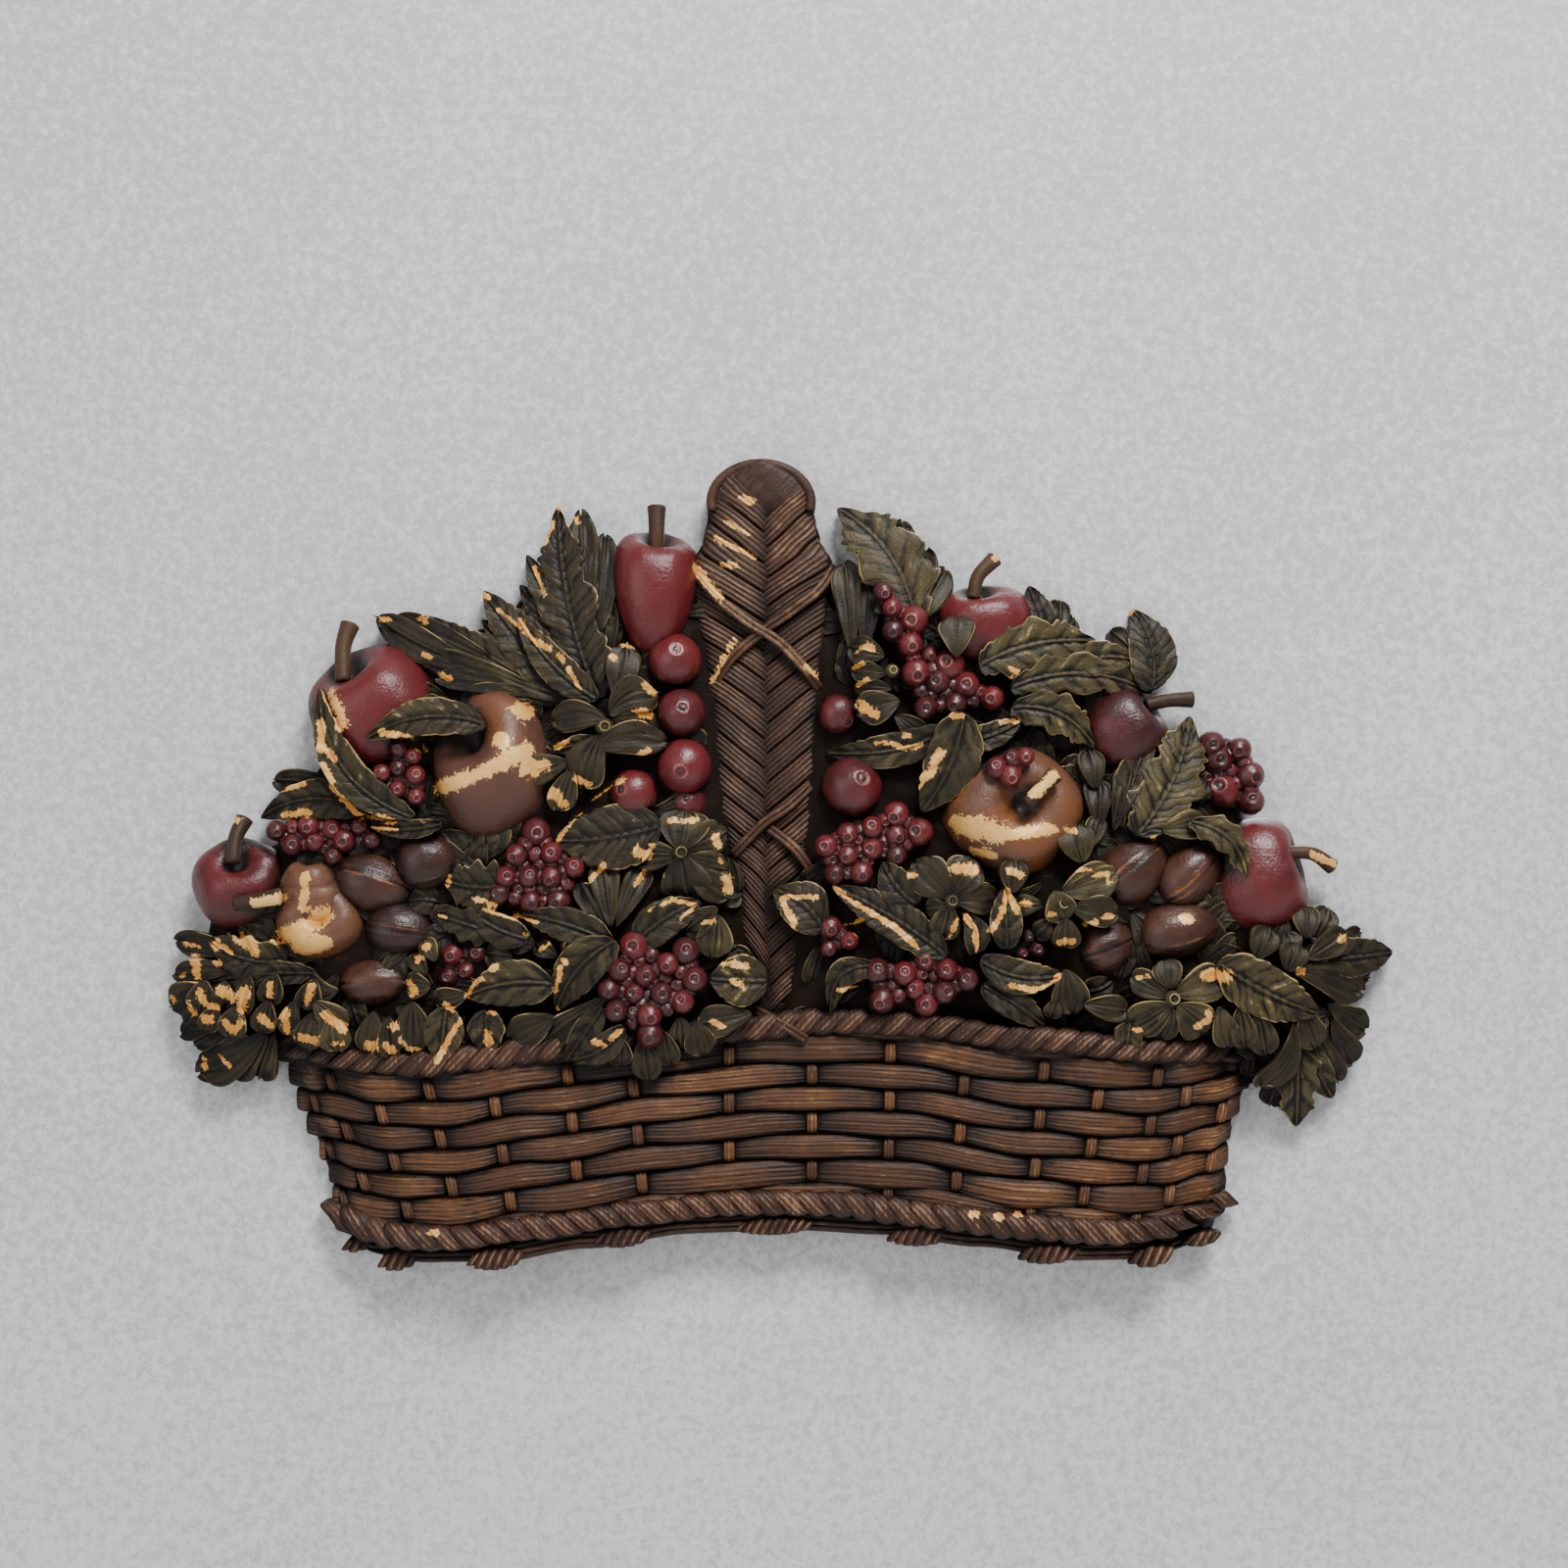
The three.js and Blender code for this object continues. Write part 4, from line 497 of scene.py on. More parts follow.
class Moulding:
    """One piece of the plaque. It gathers closed skins, each a grid of points x, z, h whose
    columns run round the form and whose first and last rows close to a pole."""

    RISE, TONE, LIE = 3, 4, slice(5, 8)     # the paint values' columns, after x, z and h

    def __init__(self, name):
        self.name = name
        self.points, self.faces, self.values = [], [], []
        self.count = 0

    def add(self, points, rise, tone=None, lie=None):
        """Adds a skin. rise runs from -1 in a groove or where a part goes in under another, painted
        darker there as shade, to 1 on an edge that wear reaches or on a bulge, painted lighter as
        wear and as painted light; tone is a shade of its own, and lie holds two lengths along and
        across the skin for its grain, and then how strongly a leaf's slanting side veins are
        painted."""
        rows, around = points.shape[:2]
        tone = random.random() if tone is None else tone
        rise = np.broadcast_to(rise, (rows, around))
        lie = np.zeros((rows, around, 3)) if lie is None else lie
        if lie.shape[-1] == 2:
            lie = np.concatenate([lie, np.zeros((rows, around, 1))], axis=-1)
        extra = np.concatenate([rise[..., None], np.full((rows, around, 1), tone), lie], axis=-1)
        values = np.concatenate([points, extra], axis=-1)
        middle = values[1:-1].reshape(-1, values.shape[-1])
        poles = values[[0, -1]].mean(axis=1)
        values = np.concatenate([poles[:1], middle, poles[1:]])

        index = 1 + np.arange((rows - 2) * around).reshape(rows - 2, around)
        turned = np.roll(index, -1, axis=1)
        quads = np.stack([index[:-1], turned[:-1], turned[1:], index[1:]], axis=-1).reshape(-1, 4)
        last = len(values) - 1
        first_fan = np.stack([np.zeros(around, int), turned[0], index[0], index[0]], axis=-1)
        last_fan = np.stack([np.full(around, last), index[-1], turned[-1], turned[-1]], axis=-1)
        faces = np.concatenate([first_fan, quads, last_fan])

        a, b, c, d = (values[faces[:, k], :3] for k in range(4))
        volume = np.einsum("ij,ij->", a, np.cross(b, c)) + np.einsum("ij,ij->", a, np.cross(c, d))
        if volume < 0:
            faces = faces[:, ::-1]
            faces[: len(first_fan)] = np.roll(faces[: len(first_fan)], -1, axis=1)
            faces[-len(last_fan):] = np.roll(faces[-len(last_fan):], -1, axis=1)
        self.points.append(values)
        self.faces.append(faces + self.count)
        self.count += len(values)

    def finish(self, material, slot, relief):
        """Makes the mesh: places in metres, and the paint values as attributes."""
        values = np.concatenate(self.points)
        faces = np.concatenate(self.faces)
        values[:, 2] = np.maximum(values[:, 2], 0)
        places = np.stack([values[:, 0], -values[:, 2], values[:, 1]], axis=-1) * MM

        is_fan = (faces[:, 3] == faces[:, 2]) | (faces[:, 3] == faces[:, 0])
        sides = np.where(is_fan, 3, 4)
        starts = np.concatenate([[0], np.cumsum(sides)[:-1]])
        keep = np.ones(faces.shape, bool)
        keep[is_fan, 3] = False
        mesh = bpy.data.meshes.new(self.name)
        mesh.vertices.add(len(places))
        mesh.vertices.foreach_set("co", places.ravel())
        mesh.loops.add(int(sides.sum()))
        mesh.loops.foreach_set("vertex_index", faces[keep].astype(np.int32))
        mesh.polygons.add(len(faces))
        mesh.polygons.foreach_set("loop_start", starts.astype(np.int32))
        mesh.polygons.foreach_set("use_smooth", np.ones(len(faces), bool))
        mesh.update(calc_edges=True)
        columns = {
            "rise": values[:, self.RISE], "tone": values[:, self.TONE], "gold": gold_at(values),
            "hollow": relief.hollow(values),
        }
        for name, column in columns.items():
            attribute = mesh.attributes.new(name, "FLOAT", "POINT")
            attribute.data.foreach_set("value", column.astype(np.float32))
        lie = values[:, self.LIE] * (MM, MM, 1)
        attribute = mesh.attributes.new("lie", "FLOAT_VECTOR", "POINT")
        attribute.data.foreach_set("vector", lie.ravel())
        mesh.materials.append(material)
        piece = bpy.data.objects.new(self.name, mesh)
        bpy.context.scene.collection.objects.link(piece)
        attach(piece, "root")
        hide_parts(PLAQUE)


def gold_at(values):
    """How much gold lies on each point: 1 on the line of a touch, falling to 0 at its width."""
    x, z = values[:, 0], values[:, 1]
    is_front = values[:, 2] > BOARD_THICK
    most = np.zeros(len(x))
    for width, *line in GOLD:
        ends = np.array(line, float).reshape(-1, 2)
        for (ax, az), (bx, bz) in zip(ends[:-1], ends[1:]):
            near = (
                (x > min(ax, bx) - width) & (x < max(ax, bx) + width)
                & (z > min(az, bz) - width) & (z < max(az, bz) + width) & is_front
            )
            run = np.array([bx - ax, bz - az])
            off = np.stack([x[near] - ax, z[near] - az], axis=-1)
            share = np.clip(off @ run / max(run @ run, 1e-6), 0, 1)
            distance = np.linalg.norm(off - share[:, None] * run, axis=1)
            most[near] = np.maximum(most[near], np.clip(1 - distance / width, 0, 1))
    return most


# ---------------------------------------------------------------- strands, strips and bars


def strand(path, across, width, height, base, columns, ridges=0, depth=0.0):
    """A rounded strand along a path of x, z, h. Its section is the arch h + height times
    (1 - q squared) to the power 0.75, for q from -1 to 1 across, with a few lengthwise ridges
    of depth, closed by a flat underside base below; it tapers at both ends."""
    rows = len(path)
    q = np.linspace(-1, 1, columns)
    t = np.linspace(0, 1, rows)[:, None]
    taper = np.maximum(1 - np.abs(2 * t - 1) ** 6, 0) ** 0.5
    groove = np.cos(math.pi * ridges * q) if ridges else 0.0
    arch = height * (1 - q**2) ** 0.75 + depth * groove
    x = path[:, :1] + across[0] * q * width / 2 * taper
    z = path[:, 1:2] + across[1] * q * width / 2 * taper
    h = path[:, 2:3] + arch * taper - base * (1 - taper)
    top = grid(x, z, h)
    under = grid(x[:, [-1, 0]], z[:, [-1, 0]], path[:, 2:3] - base)
    # Rubbed light on the crown; painted shade down the sides, in the grooves and at the ends.
    rise = np.broadcast_to(0.75 * (1 - 1.5 * q**2) + 0.45 * groove, (rows, columns))
    rise = np.concatenate([rise - 0.9 * (1 - taper), np.full((rows, 2), -1.0)], axis=1)
    return np.concatenate([top, under], axis=1), rise


def bar(points, width, rows, around, flare=0.0):
    """A round bar along a curve: circles of half the width, square to the curve, a little wider
    at the far end by flare."""
    path = curve_through(points, rows)
    along = np.gradient(path, axis=0)
    along /= np.linalg.norm(along, axis=1, keepdims=True)
    side = np.cross(along, [0.0, 0.0, 1.0])
    side /= np.maximum(np.linalg.norm(side, axis=1, keepdims=True), 1e-6)
    up = np.cross(side, along)
    angle = np.linspace(0, 2 * math.pi, around, endpoint=False)
    t = np.linspace(0, 1, rows)
    radius = width / 2 * (1 + flare * t**3)
    ring = side[:, None] * np.cos(angle)[:, None] + up[:, None] * np.sin(angle)[:, None]
    rings = path[:, None] + ring * radius[:, None, None]
    return np.concatenate([rings[:1], rings, rings[-1:]])


# ---------------------------------------------------------------- the basket


def sag(x):
    """How far the woven rows hang below their middle."""
    return eased(WEAVE_SAG, x)


def row_edge(row, x):
    """z of the top of a woven row."""
    return ROW_TOP - ROW_PITCH * row + sag(x)


def basket_face(x, z):
    """h of the basket's face: a swelling section between its left and right edges."""
    left, right = eased(BASKET_LEFT, z), eased(BASKET_RIGHT, z)
    return eased(BASKET_DEPTH, (2 * x - left - right) / (right - left))


def stake_x(stake, z):
    """x of a stake, which leans from its top to its bottom."""
    top, bottom = stake
    return top + (bottom - top) * (z - STAKE_TOP) / (STAKE_FOOT - STAKE_TOP)


def basket_bed(piece):
    """The bed behind the strips: for each x from edge to edge, a section from behind the upper
    rope to the foot, sunk under the basket's face and closed by a flat back in the board."""
    share = np.concatenate([[0], np.linspace(0, 1, 60), [1]])[:, None]
    drop = np.linspace(0, 1, 20)
    rough = BED_LEFT + (BED_RIGHT - BED_LEFT) * share
    top, bottom = row_edge(-0.9, rough), eased(FOOT_BAND, rough) + 1
    z = top + (bottom - top) * drop
    left, right = eased(BASKET_LEFT, z) + 1, eased(BASKET_RIGHT, z) - 1
    x = left + (right - left) * share
    h = np.maximum(basket_face(x, z) - BED_DROP, 1.2)
    front = grid(x, z, h)
    back = grid(x[:, [-1, 0]], z[:, [-1, 0]], BOARD_COVER)
    # Painted at its darkest, as shade behind the strips.
    piece.add(np.concatenate([front, back], axis=1), rise=-1.0, tone=0.2)


def weave_strip(piece, row, start, end):
    """A strip between two stakes, u along it from 0 to 1 and v across it from -1 to 1: its face
    is the basket's face plus a rise that is sin(pi u) to a power, less a fall at its long edges,
    with a few grain lines, and it goes in behind a stake at both ends."""
    u = np.linspace(0, 1, 26)[:, None]
    v = np.linspace(-1, 1, 29)
    x = start + (end - start) * u
    above, below = ROW_MORE.get(row, (0, 0))
    middle = row_edge(row + 0.5, x) + (above - below) / 2
    half = (ROW_PITCH - ROW_GAP + above + below) / 2 * (1 - 0.10 * (1 - np.sin(math.pi * u) ** 0.6))
    z = middle + v * half
    wander = 0.5 * np.sin(0.09 * x + 1.7 * row)
    grain = (
        np.cos(math.pi * STRIP_GRAIN * (v + 0.09 * wander))
        + 0.5 * np.cos(math.pi * 13 * v + 0.11 * x)
        + 0.5 * np.cos(math.pi * 3.3 * v + 0.05 * x + 2 * row)
    )
    bow = np.sin(math.pi * u) ** 0.55
    h = basket_face(x, z) - WEAVE_DIP + (WEAVE_DIP + WEAVE_RISE) * bow
    h = h - STRIP_EDGE * np.abs(v) ** 5 + 0.16 * grain * (1 - v**8)
    front = grid(x, z, np.maximum(h, 1.5))
    under = grid(x, middle + half * np.array([1.0, -1.0]), np.maximum(h.min() - 3, 0.8))
    # Painted highlight on the bulge, painted shade at the ends and long edges, and grain lines.
    rise = 0.36 * grain + 1.3 * bow - 1.0 - 0.7 * np.abs(v) ** 4
    rise = np.concatenate([rise, np.full((len(u), 2), -1.0)], axis=1)
    lie = grid(x, np.concatenate([z, middle, middle], axis=1))
    piece.add(np.concatenate([front, under], axis=1), rise, lie=lie)


def stake_show(piece, row, stake):
    """The length of a stake that shows in one row: an arched bar with three lengthwise ridges,
    which goes in under the strips above and below."""
    v = np.linspace(-1, 1, 9)
    z = row_edge(row + 0.5, stake_x(stake, row_edge(row + 0.5, stake[0]))) + v * ROW_PITCH * 0.56
    x = stake_x(stake, z)
    face = basket_face(x, z) + STAKE_RISE - 2.4 * np.abs(v) ** 3 - 1.4
    path = grid(x, z, face)
    points, rise = strand(path, (1, 0), STAKE_WIDTH, 1.6, 4, columns=14, ridges=3, depth=0.28)
    piece.add(points, rise * 0.8 - 0.15, lie=grid(points[..., 1], points[..., 0]))


def weave(piece):
    """Strips and stakes row by row; odd and even stakes show in turn. One row more lies behind
    each of the two ropes."""
    for row in range(-1, ROW_COUNT + 1):
        level = row_edge(row + 0.5, 0.0) - 8
        shown = [stake for i, stake in enumerate(STAKES) if (i + row) % 2 == 1]
        left, right = float(eased(BASKET_LEFT, level)), float(eased(BASKET_RIGHT, level))
        ends = [left - 2, *(float(stake_x(stake, level)) for stake in shown), right + 2]
        for start, end in zip(ends[:-1], ends[1:]):
            if end - start > 4:
                weave_strip(piece, row, start, end)
        for stake in shown:
            stake_show(piece, row, stake)


def rope(piece, line, lean):
    """A rope of slanting strands. Strand k runs from below to above the line while it moves
    sideways by lean, arched over the rope's round back."""
    start, end = line[0][0], line[-1][0]
    count = round((end - start) / ROPE_PITCH)
    v = np.linspace(-1, 1, 15)
    for k in range(count + 1):
        middle = start + (end - start) * k / count
        x = middle + lean * ROPE_LEAN * (0.75 * v + 0.25 * v**3)
        z = eased(line, x) + v * ROPE_WIDTH / 2
        back = ROPE_BULGE * np.sqrt(np.maximum(1 - 0.86 * v**2, 0))
        h = np.maximum(basket_face(x, eased(line, x)) + ROPE_RISE + back - 1.8, 2.5)
        path = grid(x, z, h)
        points, rise = strand(path, (1, -0.25 * lean), ROPE_PITCH * 1.04, 2.0, 4.5, 18, 4, 0.3)
        # Painted shade towards both ends, where a strand goes under its neighbours.
        rise = rise - 0.5 * np.abs(v)[:, None] ** 3
        piece.add(points, rise, lie=grid(points[..., 1], points[..., 0]))


def foot(piece):
    """Three strands side by side along the foot's line, bound by turns whose strands slant."""
    x = np.linspace(FOOT_BAND[0][0], FOOT_BAND[-1][0], 150)
    line = eased(FOOT_BAND, x)
    for offset in (-1, 0, 1):
        z = line + offset * FOOT_SPREAD
        h = np.maximum(basket_face(x, line) - 2.2 + 0.5 * (1 - abs(offset)), 2.5)
        points, rise = strand(grid(x, z, h), (0, 1), 2 * FOOT_STRAND, 2.0, 5.5, 10)
        piece.add(points, rise, lie=grid(points[..., 0], points[..., 1]))
    v = np.linspace(-1, 1, 15)
    for wrap_x, wrap_z, width, height in FOOT_WRAPS:
        turns = max(round(width / 3.4), 3)
        face = float(basket_face(wrap_x, wrap_z + 3)) - 0.4
        for k in range(turns):
            place = (k + 0.5) / turns * 2 - 1
            tall = height / 2 * math.sqrt(max(1 - 0.8 * place**2, 0.1))
            x = wrap_x + place * width / 2 + 2.4 * v
            h = np.maximum(face + 1.6 * np.sqrt(1 - 0.8 * v**2) - 1.6 * place**2, 2.5)
            points, rise = strand(grid(x, wrap_z + v * tall, h), (1, 0), 4.2, 1.5, 5, 10, 2, 0.14)
            piece.add(points, rise, lie=grid(points[..., 1], points[..., 0]))


# ---------------------------------------------------------------- the handle


def handle_face(x, z):
    """h of the handle's round face between its edges at z."""
    left, right = eased(HANDLE_LEFT, z), eased(HANDLE_RIGHT, z)
    q = np.clip((2 * x - left - right) / (right - left), -1, 1)
    return HANDLE_EDGE + (HANDLE_FACE - HANDLE_EDGE) * np.sqrt(1 - 0.92 * q**2)


def handle_core(piece):
    """The handle's body under the plait: for each z a round section between its edges, closed
    by a flat back in the board. It comes up to the face above the plait's top."""
    levels = np.linspace(HANDLE_FOOT, HANDLE_END, 90)
    z = np.concatenate([[HANDLE_FOOT], levels, [HANDLE_END]])[:, None]
    left, right = eased(HANDLE_LEFT, z), eased(HANDLE_RIGHT, z)
    q = np.linspace(-1, 1, 18)
    x = (left + right) / 2 + q * (right - left) / 2
    bare = smooth(138, 150, z)
    h = handle_face(x, z) - 2.6 + 2.8 * bare
    front = grid(x, z, h)
    back = grid(x[:, [-1, 0]], z, BOARD_COVER)
    skin = np.concatenate([front, back], axis=1)
    lie = grid(skin[..., 1] + skin[..., 0], skin[..., 1] - skin[..., 0])
    # Painted shade where the plait covers it, lighter where it is bare above the plait.
    piece.add(skin, rise=-0.8 + 0.7 * bare, tone=0.3, lie=lie)


def plait_bundle(piece, z_low, side):
    """A bundle of five fine strands that falls from one edge to the middle: t runs down it and
    q across it, and its face follows the handle's, bowed up between the places where it goes
    under its neighbours."""
    t = np.linspace(0, 1, 20)[:, None]
    q = np.linspace(-1, 1, 31)
    z = z_low + PLAIT_DROP * (1 - t) ** 0.95 + q * PLAIT_PITCH * 0.5
    edge = eased(HANDLE_LEFT if side < 0 else HANDLE_RIGHT, np.minimum(z, 163))
    x = edge + (HANDLE_MIDDLE - side * 3.2 - edge) * t
    strands = np.abs(np.sin(2.5 * math.pi * (q + 1 + 0.03 * np.sin(9 * t + z_low)))) ** 0.8
    bow = np.sin(math.pi * np.clip(t * 0.9 + 0.1, 0, 1)) ** 0.5
    h = handle_face(x, z) - 1.6 + 1.5 * bow + 0.7 * strands - 1.2 * q**6
    h = h - 1.4 * smooth(0.8, 1, t)
    keep_up = np.minimum(z, 164.5)
    front = grid(x, keep_up, h)
    under = grid(x[:, [-1, 0]], keep_up[:, [-1, 0]], np.maximum(h.min() - 2.5, 1))
    # Lighter on the strands and the bow as painted light; painted shade at the tucked end and
    # edges.
    rise = 1.5 * strands - 1.2 + 0.5 * bow - 0.7 * smooth(0.7, 1, t) - 0.5 * q**4
    rise = np.concatenate([rise, np.full((len(t), 2), -1.0)], axis=1)
    lie = grid(30 * t + z_low, np.append(q, [0, 0]) * PLAIT_PITCH / 2)
    piece.add(np.concatenate([front, under], axis=1), rise, lie=lie)


def handle_rim(piece):
    """The raised rim over the top: a bar along the arc of the handle's end."""
    x, z, half_x, half_z = RIM_ARC
    angle = np.linspace(math.radians(192), math.radians(-12), 12)
    points = grid(x + half_x * np.cos(angle), z + half_z * np.sin(angle), HANDLE_FACE - 2.8)
    piece.add(bar(points, RIM_WIDTH, 44, 12), rise=0.1, tone=0.5)


def cord(piece, points):
    """Two fine strands side by side along a curve over the handle."""
    path = curve_through(points, 40)
    along = np.gradient(path[:, :2], axis=0)
    along /= np.linalg.norm(along, axis=1, keepdims=True)
    side = np.stack([-along[:, 1], along[:, 0], np.zeros(len(along))], axis=1)
    for offset in (-1, 1):
        skin = bar(path + side * offset * CORD_WIDTH * 0.46, CORD_WIDTH, 40, 10)
        piece.add(skin, rise=0.35, tone=0.6)


def handle(piece):
    """Core, plait from the top down with the halves half a bundle apart, rim and cords."""
    handle_core(piece)
    count = round((PLAIT_TOP - HANDLE_FOOT) / PLAIT_PITCH)
    for k in range(count + 1):
        level = PLAIT_TOP - PLAIT_DROP * 0.5 - k * PLAIT_PITCH
        plait_bundle(piece, level, -1)
        if level - PLAIT_PITCH / 2 > HANDLE_FOOT - 4:
            plait_bundle(piece, level - PLAIT_PITCH / 2, 1)
    handle_rim(piece)
    for points in CORDS:
        cord(piece, points)


# ---------------------------------------------------------------- fruit, nuts and berries


def round_skin(half, centre, axis, profile, around, lobes, lobe_depth, foot):
    """A round body about an axis: at polar angle p from the stem end its radius is profile(p),
    swollen into lobes round the axis, then stretched to its half sizes and made narrower
    towards its foot. Gives the points and p."""
    p = np.linspace(0, math.pi, 40)[:, None]
    a = np.linspace(0, 2 * math.pi, around, endpoint=False)
    axis = np.array(axis, float) / np.linalg.norm(axis)
    side = np.cross(axis, [0.31, 0.12, 0.94])
    side /= np.linalg.norm(side)
    other = np.cross(axis, side)
    radius = profile(p) * (1 + lobe_depth * np.cos(lobes * a) * np.sin(p) ** 2 * np.cos(p / 2))
    along, out = radius * np.cos(p), radius * np.sin(p)
    body = (
        along[..., None] * axis + (out * np.cos(a))[..., None] * side
        + (out * np.sin(a))[..., None] * other
    )
    body = body / np.abs(body).max(axis=(0, 1))
    body[..., 0] *= 1 + foot * body[..., 1]
    points = centre + body * half
    points[..., 2] = np.maximum(points[..., 2], WALL_GAP)
    return points, p


def apple_profile(p):
    """1, less a deep dimple at the stem end and a shallow one at the foot."""
    return 1 - 0.42 * bell(p, 0.34) + 0.05 * bell(p - 0.75, 0.35) - 0.10 * bell(math.pi - p, 0.35)


def big_fruit(piece, row, lobes, lobe_depth):
    """An apple or a gold fruit, painted darker in the dimple at its stem end as painted shade."""
    x, z, half_x, half_z, front, right, up, out, narrow = row
    depth = 0.44 * (half_x + half_z)
    half, centre = np.array([half_x, half_z, depth]), np.array([x, z, front - depth])
    axis = (right, up, out)
    points, p = round_skin(half, centre, axis, apple_profile, 48, lobes, lobe_depth, narrow)
    piece.add(points, rise=-1.1 * bell(p, 0.3), lie=points[..., :2])


# Eyes: how far the ring stands up, its polar angle, and the depth of the pit inside it.
CHERRY_EYE, BERRY_EYE, HEART_EYE = (0.02, 0.22, 0.12), (0.08, 0.36, 0.2), (0.16, 0.5, 0.4)


def eye_profile(p, ring, ring_at, pit):
    """1, with a raised ring, a pit inside it and a small knob in the pit."""
    return 1 + ring * bell(p - ring_at, 0.1) - pit * bell(p, ring_at * 0.75) + pit * bell(p, 0.1)


def eyed_ball(piece, x, z, radius, front, look, eye, around):
    """A berry, a cherry or a blossom's heart, whose ringed eye looks to one side: rows crowd
    round the eye."""
    ring, ring_at, pit = eye
    steps = np.array([0, 0.35, 0.65, 0.85, 1, 1.15, 1.4])
    p = np.concatenate([steps * ring_at, [0.8, 1.05, 1.4, 1.85, 2.4, math.pi]])[:, None]
    a = np.linspace(0, 2 * math.pi, around, endpoint=False)
    look = np.array([look[0] / radius, look[1] / radius, 0.0])
    look[2] = math.sqrt(max(1 - look[0] ** 2 - look[1] ** 2, 0.1))
    look /= np.linalg.norm(look)
    side = np.cross(look, [0.0, 1.0, 0.1])
    side /= np.linalg.norm(side)
    other = np.cross(look, side)
    size = radius * eye_profile(p, ring, ring_at, pit)
    points = (
        (size * np.cos(p))[..., None] * look + (size * np.sin(p) * np.cos(a))[..., None] * side
        + (size * np.sin(p) * np.sin(a))[..., None] * other + np.array([x, z, front - radius])
    )
    points[..., 2] = np.maximum(points[..., 2], WALL_GAP)
    # Lighter on the ring; painted shade in the pit and round the sides away from the eye.
    edge = 1.3 * bell(p - ring_at, 0.07) - 1.2 * bell(p - ring_at * 0.55, 0.08)
    piece.add(points, rise=edge - 0.8 * smooth(1.1, 1.9, p), lie=points[..., :2])


def nut(piece, x, z, half_long, half_wide, degrees, front, seam):
    """A nut: an egg of polar angle p and azimuth a about its length, pointed at one end, with
    a grooved seam with raised lips along one meridian, and faint lengthwise wrinkles."""
    p = np.linspace(0, math.pi, 34)[:, None]
    a = np.linspace(0, 2 * math.pi, 52, endpoint=False)
    from_seam = np.abs(np.angle(np.exp(1j * (a - math.radians(seam)))))
    off = from_seam * half_wide * np.sin(p)
    ridge = 0.55 * bell(off - 1.1, 0.7) - 0.75 * bell(off, 0.55)
    wrinkle = 0.12 * np.sin(9 * a + 2 * np.sin(3 * p)) * np.sin(p)
    radius = half_wide * np.sin(p) ** 0.86 * (1 - 0.10 * np.cos(p)) + (ridge + wrinkle) * np.sin(p)
    length = half_long * (np.cos(p) + 0.10 * bell(p, 0.35))
    turn = math.radians(degrees)
    across, out = radius * np.sin(a), radius * np.cos(a)
    points = grid(
        x + length * math.cos(turn) - across * math.sin(turn),
        z + length * math.sin(turn) + across * math.cos(turn),
        np.maximum(front - half_wide + out, WALL_GAP),
    )
    # Lighter on the seam's lips; painted shade in the seam's groove; the wrinkles too.
    rise = 1.1 * bell(off - 1.1, 0.7) - 1.3 * bell(off, 0.5) + 1.2 * wrinkle
    piece.add(points, rise=rise, lie=points[..., :2])


# ---------------------------------------------------------------- leaves and petals


def blade(t):
    """Half width of a pointed leaf along its length, as a share of its widest."""
    return 2.49 * t**0.55 * (1 - t) ** 0.8


def petal(t):
    """Half width of a petal, widest in its outer half and round at its tip."""
    return 1.44 * t**0.6 * np.sqrt(1 - t**4)


def fan(t):
    """Half width of a fan, which widens nearly to its blunt tip."""
    return 1.1 * t**0.75 * np.sqrt(1 - t**9)


# Each form: its half-width curve, teeth a millimetre, their depth, lobes, their depth, the depth
# of its side veins, the pitch of those, and how much its halves puff up.
FORMS = {
    "blade": (blade, 0.13, 0.06, 0, 0.0, 0.16, 9.0, 0.13),
    "oak": (blade, 0.17, 0.11, 4, 0.26, 0.20, 11.0, 0.14),
    "petal": (petal, 0.0, 0.0, 0, 0.0, 0.42, 2.3, 0.18),
    "fan": (fan, 0.0, 0.0, 0, 0.0, 0.50, 2.7, 0.13),
}
LEAF_DEPTH = 8.5               # from a leaf's face to its keel
LEAF_FULLNESS = 1.12           # leaves swell a little past their measured widths
TOOTH_CLIMB, TOOTH_FALL = 0.72, 0.28    # shares of a tooth's pitch


